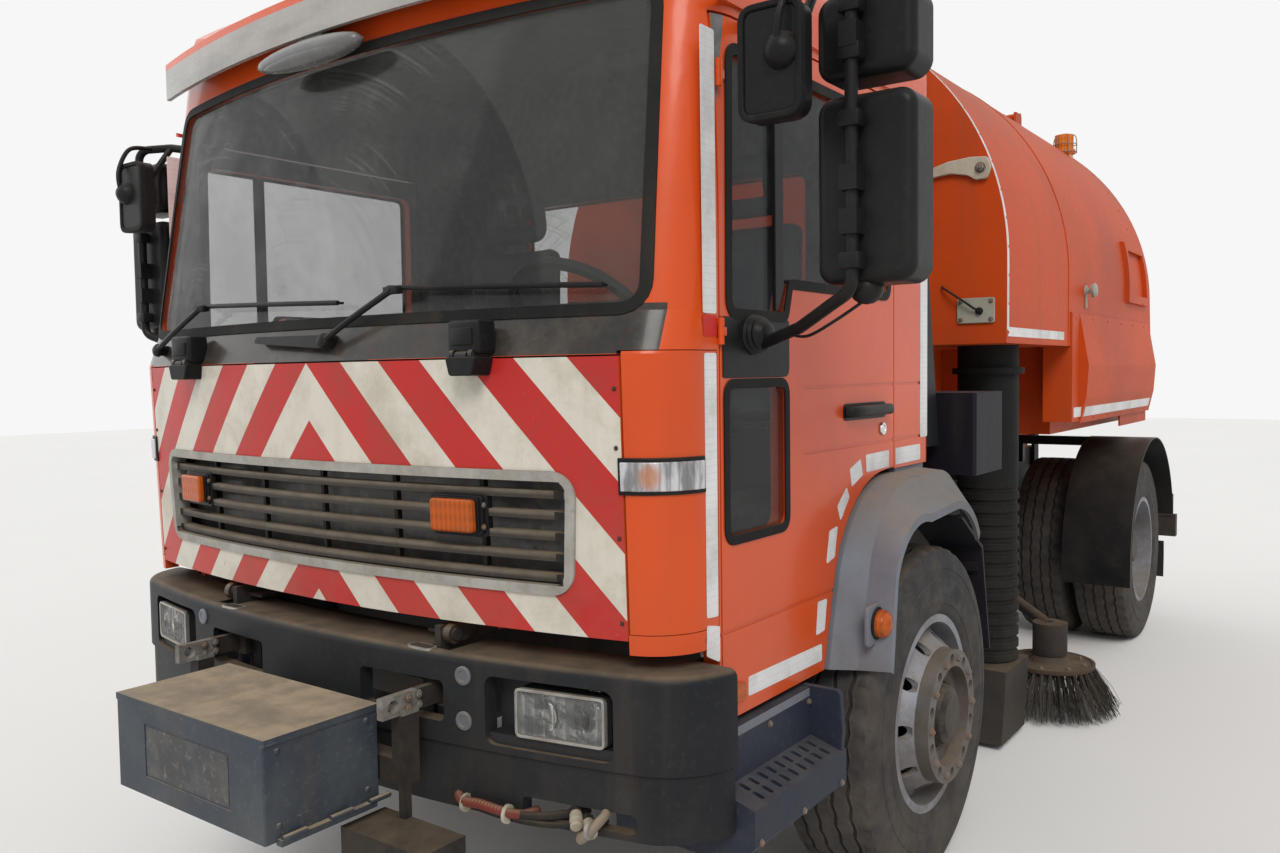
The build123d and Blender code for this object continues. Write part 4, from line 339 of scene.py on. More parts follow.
chevron = {"red": (0.45, 0.019, 0.016), "redWorn": (0.35, 0.032, 0.025), "white": (0.60, 0.565, 0.49),
           "whiteWorn": (0.46, 0.42, 0.34), "chipped": (0.30, 0.24, 0.18), "lug": (0.012, 0.012, 0.012),
           "stripe": 0.138, "slope": 0.92, "top": 1.601}


def chevronPaint(finish):        # stripes on the flap's front face, orange round its edges, black lugs
    x, y, z = finish.place
    reach = (abs(x) - (chevron["top"] - z) * chevron["slope"]) / (2 * chevron["stripe"])
    worn = finish.noise(6, 6, 0.7).rise(0.42, 0.72)
    red = finish.mix(chevron["red"], chevron["redWorn"], worn)
    white = finish.mix(chevron["white"], chevron["whiteWorn"], worn)
    chip = finish.noise(48, 4, 0.7, stretch=(1, 1, 0.5)).rise(0.69, 0.72)
    striped = finish.mix(finish.mix(white, red, (reach % 1) < 0.5), chevron["chipped"], chip * 0.7)
    panel = finish.mix(looks["orangePaint"]["colour"], striped, finish.facing[1] < -0.35)
    lugs = (y < -2.636) * (z > 1.545) * abs(x).within(0.50, 0.69)
    return finish.mix(panel, chevron["lug"], lugs.larger(z > 1.6035))


# the grille's two darkest colours are painted shade: one under each slat, one between and behind the slats
grilleLook = {"frame": (0.36, 0.345, 0.315), "frameWorn": (0.25, 0.235, 0.20), "slat": (0.150, 0.125, 0.095),
              "slatWorn": (0.085, 0.070, 0.052), "under": (0.040, 0.034, 0.028),
              "hidden": (0.012, 0.010, 0.009), "lowest": 1.098, "apart": 0.048, "half": 0.0096}


def grillePaint(finish):       # dusty slats in a pale ring, with painted shade under each slat and painted shade between and behind them
    x, _, z = finish.place
    inside = abs(x).within(-1, 0.802, 0.001) * z.within(1.084, 1.321, 0.001)
    clouds = finish.noise(8, 6, 0.7).rise(0.35, 0.7)
    apart = grilleLook["apart"]
    above = (z - grilleLook["lowest"] + apart / 2) % apart - apart / 2
    slat = finish.mix(grilleLook["slat"], grilleLook["slatWorn"], clouds)
    # painted shade on the lower part of each slat
    slat = finish.mix(grilleLook["under"], slat, above.rise(-0.004, 0.006))
    # painted shade in the gaps between the slats and behind them
    slat = finish.mix(grilleLook["hidden"], slat, (abs(above) < grilleLook["half"]) * (abs(x) < 0.775))
    return finish.mix(finish.mix(grilleLook["frame"], grilleLook["frameWorn"], clouds), slat, inside)


def faded(finish):        # the orange paint with paler clouds
    clouds = finish.noise(1.2, 5, 0.6).rise(0.38, 0.72)
    return finish.mix(looks["orangePaint"]["colour"], looks["orangePaint"]["worn"], clouds)


shellLook = {"lining": (0.10, 0.10, 0.10), "liningPale": (0.16, 0.155, 0.15),
             "scuttle": (0.022, 0.020, 0.018), "scuttleDusty": (0.060, 0.050, 0.038), "scuttleLow": 1.606,
             "scuttleHigh": 1.716, "scuttleSide": 1.03, "noseFoot": 2.621, "noseLean": 0.1632,
             "noseBow": 0.1127}


def cabPaint(finish):         # orange outside, dark grey lining inside, black scuttle under the windscreen
    x, y, z = finish.place
    outer = faded(finish)
    inner = finish.mix(shellLook["lining"], shellLook["liningPale"], finish.noise(30, 4).rise(0.4, 0.7))
    corner = (abs(x) - 0.957).larger(0)
    ahead = y + shellLook["noseFoot"] - (z - 1.7).larger(0) * shellLook["noseLean"]
    ahead = ahead - x * x * shellLook["noseBow"] - corner * corner * 5
    across, along, upright = finish.facing
    inward = upright * (2.0 - z) - across * x - along * (y + 1.7)
    overhead = (z < 2.45).larger(inward > 0.02)
    roomy = abs(x).within(-1, 1.045) * (ahead > 0.026) * (y < -1.062) * z.within(1.0, 2.795) * overhead
    outer = finish.mix(outer, inner, roomy)
    front = (y < -2.30) * z.within(shellLook["scuttleLow"], shellLook["scuttleHigh"])
    front = front * (abs(x) < shellLook["scuttleSide"])
    hinges = (y < -2.650).larger((y < -2.45) * (z < 0.98) * (abs(x) < 0.94))
    scuttle = finish.mix(shellLook["scuttle"], shellLook["scuttleDusty"],
                         finish.noise(9, 6, 0.7).rise(0.4, 0.75))
    return finish.mix(outer, scuttle, front.larger(hinges))


def visorPaint(finish):       # silver strip, with the roof's colour along its top edge
    clouds = finish.noise(2.5, 5, 0.6, stretch=(1, 1, 4)).rise(0.35, 0.75)
    strip = finish.mix((0.34, 0.32, 0.295), (0.20, 0.19, 0.175), clouds)
    return finish.mix(strip, looks["orangePaint"]["colour"], finish.place[2] > 2.584)


def doorPaint(finish):        # orange outside, grey trim inside
    wide = abs(finish.place[0])
    outer = faded(finish)
    inner = finish.mix((0.12, 0.12, 0.12), (0.17, 0.165, 0.16), finish.noise(35, 4).rise(0.4, 0.7))
    return finish.mix(outer, inner, (wide < 1.0745) * (abs(finish.facing[0]) > 0.5) * (1 - (wide > 1.07)))


def wheelPaint(finish):       # dusty disc, darker nut ring, and the hub's hollow centre painted dark as its shade
    _, y, z = finish.place
    near = abs(y + frontAxle / 1000).smaller(abs(y + (frontAxle - rearAxle) / 1000))
    away = span(near, z - 0.51)
    clouds = finish.noise(9, 6, 0.7).rise(0.35, 0.72)
    disc = finish.mix(looks["wheelSteel"]["colour"], looks["wheelSteel"]["worn"], clouds)
    ring = finish.mix((0.13, 0.125, 0.125), (0.085, 0.062, 0.045), clouds)
    # painted shade: the hub's hollow centre is coloured near black
    hubShade = finish.mix((0.014, 0.013, 0.012), (0.036, 0.029, 0.023), clouds)
    return finish.mix(finish.mix(hubShade, ring, away.rise(0.112, 0.118)), disc, away.rise(0.200, 0.206))


def carrierPaint(finish):     # bare bolted brackets on top, black arms below them
    _, y, z = finish.place
    clouds = finish.noise(14, 6, 0.7).rise(0.35, 0.7)
    bracket = finish.mix((0.24, 0.235, 0.22), (0.12, 0.10, 0.08), clouds)
    arm = finish.mix((0.016, 0.016, 0.017), (0.030, 0.027, 0.024), clouds)
    return finish.mix(arm, bracket, (z > 0.768) * (y < -2.692))


def tyrePaint(finish):
    return finish.mix((0.026, 0.026, 0.029), (0.060, 0.057, 0.055), finish.noise(14, 7, 0.7).rise(0.35, 0.72))


def fabricPaint(finish):        # crossed threads under pale wear
    x, y, z = finish.place
    weave = abs((x * 260) % 1 - 0.5) + abs((y * 260 + z * 260) % 1 - 0.5)
    base = finish.mix((0.060, 0.064, 0.075), (0.11, 0.115, 0.13), weave.rise(0.3, 0.8))
    return finish.mix(base, (0.20, 0.19, 0.17), finish.noise(7, 6).rise(0.5, 0.8) * 0.4)


def bristlePaint(finish):
    strands = finish.noise(90, 3, 0.6, stretch=(3, 3, 0.2)).rise(0.35, 0.65)
    return finish.mix((0.018, 0.017, 0.016), (0.075, 0.066, 0.055), strands)


def varied(base, **changes):
    return {**looks[base], **changes}


painted = {
    "tape": (looks["tape"], tapePaint),
    "wheelSteel": (looks["wheelSteel"], wheelPaint),
    "chevronPanel": (varied("orangePaint", rough=(0.32, 0.52), coat=0.2, dust=0.35, grime=0.25,
                            grimeColour=(0.3, 0.22, 0.14), splashTop=1.7), chevronPaint),
    "grilleFinish": (varied("greyPlastic", grime=0.2), grillePaint),
    "cabPaint": (looks["orangePaint"], cabPaint),
    "carrierFinish": (looks["frameSteel"], carrierPaint),
    "visorFinish": (looks["visorWhite"], visorPaint),
    "doorPaint": (looks["orangePaint"], doorPaint),
    "mirrorGlass": (varied("chrome", rough=(0.03, 0.10)), None),
    "tyreRubber": (varied("rubber", grime=0.45, splashTop=1.2, dust=0.5, grimeColour=(0.125, 0.10, 0.075)),
                   tyrePaint),
    "seatFabric": (varied("rubber", rough=(0.75, 0.92), dust=0.15, bump=0.002), fabricPaint),
    "bristle": (varied("rubber", rough=(0.5, 0.75)), bristlePaint),
}
made = {name: weathered(name, look) for name, look in looks.items() if name not in painted}
made.update({name: weathered(name, look, paint) for name, (look, paint) in painted.items()})


def glassFinish(name, tint, cover, wiped=()):     # cover is how much of the glass itself is seen
    finish = Finish(name)
    x, _, z = finish.place
    film = finish.noise(2.2, 6, 0.65).rise(0.4, 0.75) * 0.06 + finish.noise(9, 7, 0.7).rise(0.5, 0.8) * 0.05
    for middle, height, reach in wiped:        # wipers leave rings of dirt outside their sweep
        away = span(x - middle, z - height)
        patchy = finish.noise(3.5, 3, 0.6).rise(0.42, 0.62)
        streak = (finish.bands(away, 95) * 0.08 + finish.bands(away, 240) * 0.06) * patchy
        film = film + streak * (1 - (away > reach)) + (away > reach) * 0.05
    colour = finish.mix(tint, (0.40, 0.38, 0.34), film * 1.4)
    return finish.surface(colour, 0.02 + film * 0.5, {"IOR": 1.52, "Specular IOR Level": 0.5},
                          Alpha=(cover + film).smaller(1))


def lensFinish(name, colour, glow, ribs, dirt=(0.34, 0.27, 0.18)):        # ribbed plastic that glows a little
    finish = Finish(name)
    x, _, z = finish.place
    flutes = abs((x * ribs) % 1 - 0.5) + abs((z * ribs * 0.5) % 1 - 0.5) * 0.6
    body = finish.mix(colour, tuple(part * 0.6 for part in colour), flutes.rise(0.2, 0.9))
    body = finish.mix(body, dirt, finish.noise(20, 6).rise(0.45, 0.75) * 0.35)
    return finish.surface(body, 0.16 + finish.noise(30) * 0.15, {
        "IOR": 1.5, "Specular IOR Level": 0.2, "Coat Weight": 0.1, "Coat Roughness": 0.06,
        "Emission Strength": glow,
    }, Emission_Color=body, Normal=finish.relief(flutes, 0.002, 0.7))


def cornerLens(look):         # clear fluted lens streaked with painted highlights and painted shade where its reflector's facets show, an amber bulb glows through its middle
    finish = Finish("cornerLens")
    x, y, z = finish.place
    flutes = abs((y * 60) % 1 - 0.5)
    away = span(abs(x) - look["x"], y - look["y"], (z - look["z"]) * math.sqrt(0.7))
    # pale and dark streaks: painted highlights and painted shade of the reflector's facets behind the lens
    body = finish.mix(look["clear"], look["dark"], finish.noise(24, 3, stretch=(1, 1, 0.3)).rise(0.42, 0.6))
    body = finish.mix(body, look["groove"], flutes.rise(0.3, 0.5) * 0.6)
    body = finish.mix(body, look["amber"], (1 - away.rise(0.012, 0.034)) * 0.75)
    return finish.surface(body, 0.12 + finish.noise(30) * 0.12, {
        "IOR": 1.5, "Coat Weight": 0.6, "Coat Roughness": 0.05,
    }, Normal=finish.relief(flutes, 0.002, 0.6))


def reflectorFinish(look):    # headlamp inside: bright facets painted as highlights and dark ones painted as shade, plain dark outside the bowl
    finish = Finish("lampReflector")
    x, _, z = finish.place
    facets = ((x * look["facets"]) % 1).rise(0.05, 0.95)
    # noise that lays painted highlights and painted shade over the facets
    glintsAndShade = finish.noise(17, 3, 0.5, stretch=(1, 1, 1.6)).rise(0.40, 0.62)
    mirrored = abs(x).within(0.692, 0.914) * z.within(0.734, 0.843)
    colour = finish.mix(look["dark"], look["bright"], glintsAndShade * (0.35 + facets * 0.65))
    colour = finish.mix(look["outside"], colour, mirrored)
    bumps = finish.relief((facets + glintsAndShade * 2) * mirrored, 0.004, 0.7)
    rough = 0.5 - mirrored * 0.34 + facets * 0.12
    return finish.surface(colour, rough, {"IOR": 1.5, "Specular IOR Level": 0.25}, Metallic=mirrored * 0.8,
                          Normal=bumps)


wiperSweeps = ((-0.19, 1.652, 0.92), (-0.73, 1.65, 0.8))
made["windowGlass"] = glassFinish("windowGlass", (0.018, 0.022, 0.024), 0.26)
made["screenGlass"] = glassFinish("screenGlass", (0.022, 0.027, 0.027), 0.20, wiperSweeps)
made["lampGlass"] = glassFinish("lampGlass", (0.16, 0.165, 0.165), 0.22)
made["clearLens"] = lensFinish("clearLens", (0.36, 0.36, 0.35), 0.02, 55)
made["amberLens"] = lensFinish("amberLens", (0.44, 0.078, 0.005), 0.05, 70, (0.13, 0.075, 0.03))
made["beaconAmber"] = lensFinish("beaconAmber", (0.60, 0.15, 0.010), 0.10, 60)
made["redLens"] = lensFinish("redLens", (0.36, 0.012, 0.010), 0.04, 70)
# the pale lens colour is a painted highlight and the dark one painted shade
made["cornerLens"] = cornerLens({"x": 1.012, "y": -2.525, "z": 1.338, "clear": (0.50, 0.50, 0.52),
                                 "dark": (0.17, 0.165, 0.165), "groove": (0.12, 0.12, 0.13),
                                 "amber": (0.42, 0.13, 0.03)})
# the bowl's pale colour is a painted highlight and its dark colour painted shade
made["lampReflector"] = reflectorFinish({"facets": 38, "bright": (0.62, 0.61, 0.58),
                                         "dark": (0.075, 0.07, 0.065), "outside": (0.020, 0.020, 0.021)})
print("finishes made:", len(made))


# shapes: meshes under construction, in millimetres as (x, back from the front axle, height)

def rounded(corners, radius, steps=5):        # a flat outline with its corners filleted
    outline = []
    radii = radius if isinstance(radius, list) else [radius] * len(corners)
    for n, corner in enumerate(corners):
        here = Vector(corner)
        before, after = Vector(corners[n - 1]) - here, Vector(corners[(n + 1) % len(corners)]) - here
        reach = radii[n] / max(math.tan(before.angle(after) / 2), 0.05)
        reach = min(reach, before.length * 0.48, after.length * 0.48)
        start, end = here + before.normalized() * reach, here + after.normalized() * reach
        for k in range(steps + 1):
            t = k / steps
            outline.append(start * (1 - t) ** 2 + here * 2 * t * (1 - t) + end * t * t)
    return outline


def oblong(x, y, radius, steps=5):        # a rounded rectangle between two pairs of edges
    return rounded([(x[0], y[0]), (x[1], y[0]), (x[1], y[1]), (x[0], y[1])], radius, steps)


def grown(outline, by):        # the same outline moved outwards
    area = sum(a.x * b.y - b.x * a.y for a, b in zip(outline, outline[1:] + outline[:1]))
    way = 1 if area > 0 else -1
    moved = []
    for n, here in enumerate(outline):
        run = outline[(n + 1) % len(outline)] - outline[n - 1]
        if run.length < 1e-6:
            run = Vector((1, 0))
        moved.append(here + Vector((run.y, -run.x)).normalized() * by * way)
    return moved


def smoothLine(points, steps, closed=False):
    count = len(points)
    if count < 3:
        return points
    line = []
    for n in range(count if closed else count - 1):
        if closed:
            a, b, c, d = (points[(n + k) % count] for k in (-1, 0, 1, 2))
        else:
            a, b, c, d = points[max(n - 1, 0)], points[n], points[n + 1], points[min(n + 2, count - 1)]
        for k in range(steps):
            t = k / steps
            line.append((b * 2 + (c - a) * t + (a * 2 - b * 5 + c * 4 - d) * t * t
                         + (b * 3 - a - c * 3 + d) * t ** 3) * 0.5)
    return line if closed else line + [points[-1]]


# the kind of material that each finish stands for, unless a piece says another
slotOf = {
    "tyre_rubber": "tyreRubber", "cast_steel": "castSteel", "brush_bristle": "bristle",
    "grey_plastic": "stepPlastic", "black_plastic": "blackPlastic mirrorGlass", "black_rubber": "rubber",
    "wheel_steel": "chrome", "lamp_lens": "amberLens redLens clearLens cornerLens lampReflector lampGlass",
    "frame_steel": "nutSteel",
    "light_grey_plastic": "tape redTape creamLever palePlate visorWhite lampHood greyPlastic",
    "box_steel": "darkPlate bareSteel", "seat_fabric": "seatFabric",
}
slotOf = {finishName: slot for slot, names in slotOf.items() for finishName in names.split()}
noSlot = "none"


def place(name, data, body, finishName, slot=noSlot, sharp=38, edge=0.0):        # a finished mesh on its body
    piece = bpy.data.objects.new(name, data)
    bpy.context.scene.collection.objects.link(piece)
    data.materials.clear()
    data.materials.append(made[finishName])
    for face in data.polygons:
        face.use_smooth = True
    data.set_sharp_from_angle(angle=math.radians(sharp))
    if edge:
        bevel = piece.modifiers.new("edges", "BEVEL")
        bevel.width, bevel.segments, bevel.limit_method = edge / 1000, 2, "ANGLE"
        bevel.angle_limit = math.radians(40)
    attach(piece, body)
    slot != noSlot
    return piece


class Shape:
    def __init__(self):
        self.mesh = bmesh.new()

    def block(self, low, high, edge=0.0, steps=2):
        verts = bmesh.ops.create_cube(self.mesh, size=1)["verts"]
        for v in verts:
            v.co = Vector([low[i] + (v.co[i] + 0.5) * (high[i] - low[i]) for i in range(3)])
        if edge:
            edges = list({e for v in verts for e in v.link_edges})
            bmesh.ops.bevel(self.mesh, geom=edges, offset=edge, segments=steps, affect="EDGES", profile=0.5)
        return self

    def ring(self, centre, side, other, radius, count):
        return [self.mesh.verts.new(centre + (side * math.cos(a) + other * math.sin(a)) * radius)
                for a in turns(count)]

    def join(self, first, second):        # faces between two rings, either of which may be a single point
        count = max(len(first), len(second))
        for n in range(count):
            m = (n + 1) % count
            corners = [first[n % len(first)], first[m % len(first)]]
            corners = list(dict.fromkeys(corners + [second[m % len(second)], second[n % len(second)]]))
            if len(corners) > 2:
                self.mesh.faces.new(corners)

    def lathe(self, profile, centre, axis, sides=32):        # profile is (along, radius)
        axis = Vector(axis).normalized()
        side = axis.orthogonal().normalized()
        rings = []
        for along, radius in profile:
            middle = Vector(centre) + axis * along
            if radius < 1e-4:
                rings.append([self.mesh.verts.new(middle)])
            else:
                rings.append(self.ring(middle, side, axis.cross(side), radius, sides))
        for first, second in zip(rings, rings[1:]):
            self.join(first, second)
        return self

    def rod(self, start, end, radius, sides=24, edge=0.0):
        along = Vector(end) - Vector(start)
        far = along.length
        profile = [(0, 0), (0, radius), (far, radius), (far, 0)]
        if edge:
            inner = radius - edge
            profile = [(0, 0), (0, inner), (edge, radius), (far - edge, radius), (far, inner), (far, 0)]
        return self.lathe(profile, start, along, sides)

    def tube(self, path, radius, sides=10, steps=6, closed=False):        # a smooth round line
        points = smoothLine([Vector(p) for p in path], steps, closed)
        rings = []
        side = (points[1] - points[0]).normalized().orthogonal().normalized()
        for n, here in enumerate(points):
            following = points[(n + 1) % len(points)] if closed else points[min(n + 1, len(points) - 1)]
            leading = points[n - 1] if closed or n else points[0]
            ahead = (following - leading).normalized()
            side = (side - ahead * side.dot(ahead)).normalized()
            rings.append(self.ring(here, side, ahead.cross(side), radius, sides))
        for first, second in zip(rings, rings[1:]):
            self.join(first, second)
        if closed:
            self.join(rings[-1], rings[0])
        else:
            self.mesh.faces.new(rings[0][::-1])
            self.mesh.faces.new(rings[-1])
        return self

    def slab(self, outline, low, high, place, hole=None):        # place(u, v, depth) gives each point
        def edgeAt(line, level):
            return [self.mesh.verts.new(place(p[0], p[1], level)) for p in line]

        bottom, top = edgeAt(outline, low), edgeAt(outline, high)
        self.join(bottom, top)
        if hole is None:
            self.mesh.faces.new(bottom[::-1])
            self.mesh.faces.new(top)
        else:
            lower, upper = edgeAt(hole, low), edgeAt(hole, high)
            self.join(upper, lower)
            self.join(lower, bottom)
            self.join(top, upper)
        return self

    def between(self, inner, outer):        # a closed sheet between two grids of points
        high, wide = len(inner), len(inner[0])
        inner = [[self.mesh.verts.new(Vector(p)) for p in row] for row in inner]
        outer = [[self.mesh.verts.new(Vector(p)) for p in row] for row in outer]
        for i in range(high - 1):
            for j in range(wide - 1):
                self.mesh.faces.new((inner[i][j], inner[i][j + 1], inner[i + 1][j + 1], inner[i + 1][j]))
                self.mesh.faces.new((outer[i + 1][j], outer[i + 1][j + 1], outer[i][j + 1], outer[i][j]))
        rim = [(0, j) for j in range(wide)] + [(i, wide - 1) for i in range(1, high)]
        rim += [(high - 1, j) for j in range(wide - 2, -1, -1)] + [(i, 0) for i in range(high - 2, 0, -1)]
        self.join([outer[i][j] for i, j in rim], [inner[i][j] for i, j in rim])
        return self

    def skin(self, rows, thick, outwards):        # a sheet through rows of points, thick on one side
        step = Vector(outwards) * thick
        return self.between(rows, [[Vector(p) + step for p in row] for row in rows])

    def toMesh(self, name, weld, put):        # seams closed, faces outwards, each point put in place
        bmesh.ops.remove_doubles(self.mesh, verts=self.mesh.verts, dist=weld)
        bmesh.ops.recalc_face_normals(self.mesh, faces=self.mesh.faces)
        for v in self.mesh.verts:
            v.co = put(v.co)
        data = bpy.data.meshes.new(name)
        self.mesh.to_mesh(data)
        self.mesh.free()
        return data

    def finish(self, name, body, finishName, slot=None, sharp=38, edge=0.0):
        data = self.toMesh(name, 0.02, lambda here: spot(*here))
        return place(name, data, body, finishName, slot or slotOf.get(finishName, noSlot), sharp, edge)


# repeats: one tree sets copies of a small shape on marked points and turns them to each mark's direction

def scatterTree():
    tree = bpy.data.node_groups.new("setOnMarks", "GeometryNodeTree")
    face = tree.interface
    face.new_socket("Marks", in_out="INPUT", socket_type="NodeSocketGeometry")
    inputs = {"Shape": "Object", "Size": "Float", "Size spread": "Float", "Lean spread": "Float",
              "Seed": "Int", "Finish": "Material"}
    for name, kind in inputs.items():
        face.new_socket(name, in_out="INPUT", socket_type="NodeSocket" + kind)
    face.new_socket("Geometry", in_out="OUTPUT", socket_type="NodeSocketGeometry")

    def node(kind, settings=None, values=None):
        return addNode(tree, kind, settings, values).outputs

    given = node("NodeGroupInput")
    aim = node("GeometryNodeInputNamedAttribute", {"data_type": "FLOAT_VECTOR"}, {"Name": "aim"})
    turned = node("FunctionNodeAlignRotationToVector", {"axis": "Z"}, {"Vector": aim[0]})
    lean = node("FunctionNodeRandomValue", {"data_type": "FLOAT_VECTOR"},
                {"Min": (-1, -1, -3.14), "Max": (1, 1, 3.14), "Seed": given["Seed"]})
    part = node("ShaderNodeVectorMath", {"operation": "SCALE"}, {0: lean[0], "Scale": given["Lean spread"]})
    tilt = node("FunctionNodeEulerToRotation", None, {0: part[0]})
    both = node("FunctionNodeRotateRotation", {"rotation_space": "LOCAL"}, {0: turned[0], 1: tilt[0]})
    lowest = node("ShaderNodeMath", {"operation": "SUBTRACT"}, {0: given["Size"], 1: given["Size spread"]})
    size = node("FunctionNodeRandomValue", {"data_type": "FLOAT"},
                {2: lowest[0], 3: given["Size"], "Seed": given["Seed"]})
    shape = node("GeometryNodeObjectInfo", None, {"Object": given["Shape"]})
    copies = node("GeometryNodeInstanceOnPoints", None, {
        "Points": given["Marks"], "Instance": shape["Geometry"], "Rotation": both[0], "Scale": size[1]})
    real = node("GeometryNodeRealizeInstances", None, {0: copies[0]})
    painted = node("GeometryNodeSetMaterial", None, {0: real[0], "Material": given["Finish"]})
    node("NodeGroupOutput", None, {0: painted[0]})
    return tree


onMarks = scatterTree()


# marks are pairs of a place and a direction, in millimetres
def scatter(name, marks, shape, body, finishName, slot=noSlot, size=1.0, spread=0.0, lean=0.0, seed=3):
    if not marks:
        return None
    data = bpy.data.meshes.new(name + ".marks")
    data.from_pydata([spot(*here) for here, _ in marks], [], [])
    aim = data.attributes.new("aim", "FLOAT_VECTOR", "POINT")
    for item, (_, way) in zip(aim.data, marks):
        item.vector = Vector(way).normalized()
    holder = bpy.data.objects.new(name + ".marks", data)
    bpy.context.scene.collection.objects.link(holder)
    modifier = holder.modifiers.new("setOnMarks", "NODES")
    modifier.node_group = onMarks
    values = {"Shape": shape, "Size": size, "Size spread": spread, "Lean spread": lean, "Seed": seed,
              "Finish": made[finishName]}
    for item in onMarks.interface.items_tree:
        if item.in_out == "INPUT" and item.name in values:
            modifier[item.identifier] = values[item.name]
    graph = bpy.context.evaluated_depsgraph_get()
    result = bpy.data.meshes.new_from_object(holder.evaluated_get(graph))
    result.name = name
    bpy.data.objects.remove(holder)
    return place(name, result, body, finishName, slot)


def smallShape(name, build):        # a shape at the origin for the tree to copy, kept out of the scene
    shape = Shape()
    build(shape)
    return bpy.data.objects.new(name, shape.toMesh(name, 0.01, lambda here: here * 0.001))


def hexagon(width, height, stud=0, washer=0):
    corner, chamfer = width / 1.732, width / 2.05

    def build(shape):
        if washer:
            thick = height * 0.18
            shape.lathe([(0, 0), (0, washer), (thick, washer), (thick, 0)], (0, 0, 0), (0, 0, 1), 16)
        shape.lathe([(0, 0), (0, corner), (height * 0.85, corner), (height, chamfer), (height, 0)],
                    (0, 0, 0), (0, 0, 1), 6)
        if stud:
            shape.rod((0, 0, height), (0, 0, height + stud), width * 0.28, 10, edge=1)
    return build


def dome(radius, height):
    def build(shape):
        rings = [(height * math.sin(a), radius * math.cos(a)) for a in (0, 0.35, 0.75, 1.15)]
        shape.lathe([(0, 0)] + rings + [(height, 0)], (0, 0, 0), (0, 0, 1), 10)
    return build


nut = smallShape("nut", hexagon(30, 22, stud=12, washer=21))
bolt = smallShape("bolt", hexagon(19, 9, stud=3, washer=14))
smallBolt = smallShape("smallBolt", hexagon(12, 6, washer=9))
rivet = smallShape("rivet", dome(6.5, 3.2))
print("shapes and repeats ready")


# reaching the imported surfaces, so that a fitted piece sits on what carries it

reached = {}


def touch(node, start, way):        # where a ray from start meets the node, in millimetres
    if node not in reached:
        data = nodes[node].data
        reached[node] = BVHTree.FromPolygons([v.co for v in data.vertices],
                                             [p.vertices[:] for p in data.polygons])
    hit = reached[node].ray_cast(spot(*start), Vector(way))[0]
    if hit is None:
        return None
    return Vector((hit.x * 1000, hit.y * 1000 + frontAxle, hit.z * 1000))


def levelOf(node, x, z, missing, way=1):        # how far back the node's face stands, way -1 seen from behind
    hit = touch(node, (x, 4800 if way < 0 else -1900, z), (0, way, 0))
    return hit.y if hit else missing


def marksOn(node, starts, way, out=None):        # marks where rays from the starts meet the node
    hits = [touch(node, start, way) for start in starts]
    return [(tuple(hit), out or tuple(-part for part in way)) for hit in hits if hit]


# ways to stand a flat outline in space, for slab
cabForm = {"heights": [(740, -1343), (1605, -1372), (1700, -1336), (2460, -1212), (2880, -1150)],
           "bow": 4436.0, "half": 1075.0, "corner": 150.0}


def noseAt(z):        # how far back the cab's nose stands at this height
    heights = cabForm["heights"]
    for (low, first), (high, second) in zip(heights, heights[1:]):
        if z <= high:
            return first + (second - first) * (z - low) / (high - low)
    return heights[-1][1]


def faceAt(x, z, out=0.0):        # how far back the cab's front surface stands at this width and height
    bow, corner = cabForm["bow"], cabForm["corner"]
    centre = cabForm["half"] - corner
    across = min(abs(x), cabForm["half"] - 0.5)
    if across < centre * bow / (bow - corner):
        return noseAt(z) + bow - math.sqrt(bow ** 2 - across ** 2) - out
    middle = noseAt(z) + bow - math.sqrt((bow - corner) ** 2 - centre ** 2)
    return middle - math.sqrt(corner ** 2 - (across - centre) ** 2) - out


def onFace(u, v, depth):        # outline of (x, height) on the cab's curved front
    return (u, faceAt(u, v, depth), v)


def overFace(x, z, out):
    return Vector(onFace(x, z, out))


def onSide(sign, level=cabForm["half"]):        # outline of (back, height) this far out on one side
    return lambda u, v, depth: (sign * (level + depth), u, v)


def facing(level, way=-1, sign=1):        # outline of (x, height) this far back, way 1 faces the rear
    return lambda u, v, depth: (sign * u, level + way * depth, v)


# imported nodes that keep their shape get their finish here, a pair by one name; the others are grey plastic

carried = {
    "cabPaint": "cab_shell", "orangePaint": "corner_panels", "chevronPanel": "front_flap",
    "grilleFinish": "grille", "hopperPaint": "hopper_shell hopper_skirts tail_door", "doorPaint": "door",
    "screenGlass": "cab_glass", "windowGlass": "door_glass", "visorFinish": "sun_visor",
    "lampReflector": "headlamps", "blackPlastic": "dashboard wipers rear_mudguards mirror",
    "bumperPlastic": "front_bumper intake_stack", "stepPlastic": "cab_steps",
    "carrierFinish": "front_carrier", "boxSteel": "control_box",
    "frameSteel": "chassis_frame suction_nozzles brush_mounts wide_brush_carrier rear_bumper brush_arm",
    "castSteel": "front_axle rear_axle knuckle leaf_springs", "engineGrey": "engine_block sweep_engine",
    "lockerSteel": "side_lockers", "rubber": "suction_ducts suction_hoses", "beaconAmber": "beacon",
    "bristle": "wide_brush gutter_brush", "wheelSteel": "front_wheel rear_wheel",
    "tyreRubber": "front_tyre rear_tyres",
}
finishOf = {stem: finishName for finishName, stems in carried.items() for stem in stems.split()}
for name, node in nodes.items():
    chosen = finishOf.get(name.replace("_left", "").replace("_right", ""), "greyPlastic")
    for held in node.material_slots:
        held.material = made[chosen]
print("packed nodes finished")


# tyres: five ribs with wandering grooves, slots in the shoulders and raised bands on the walls

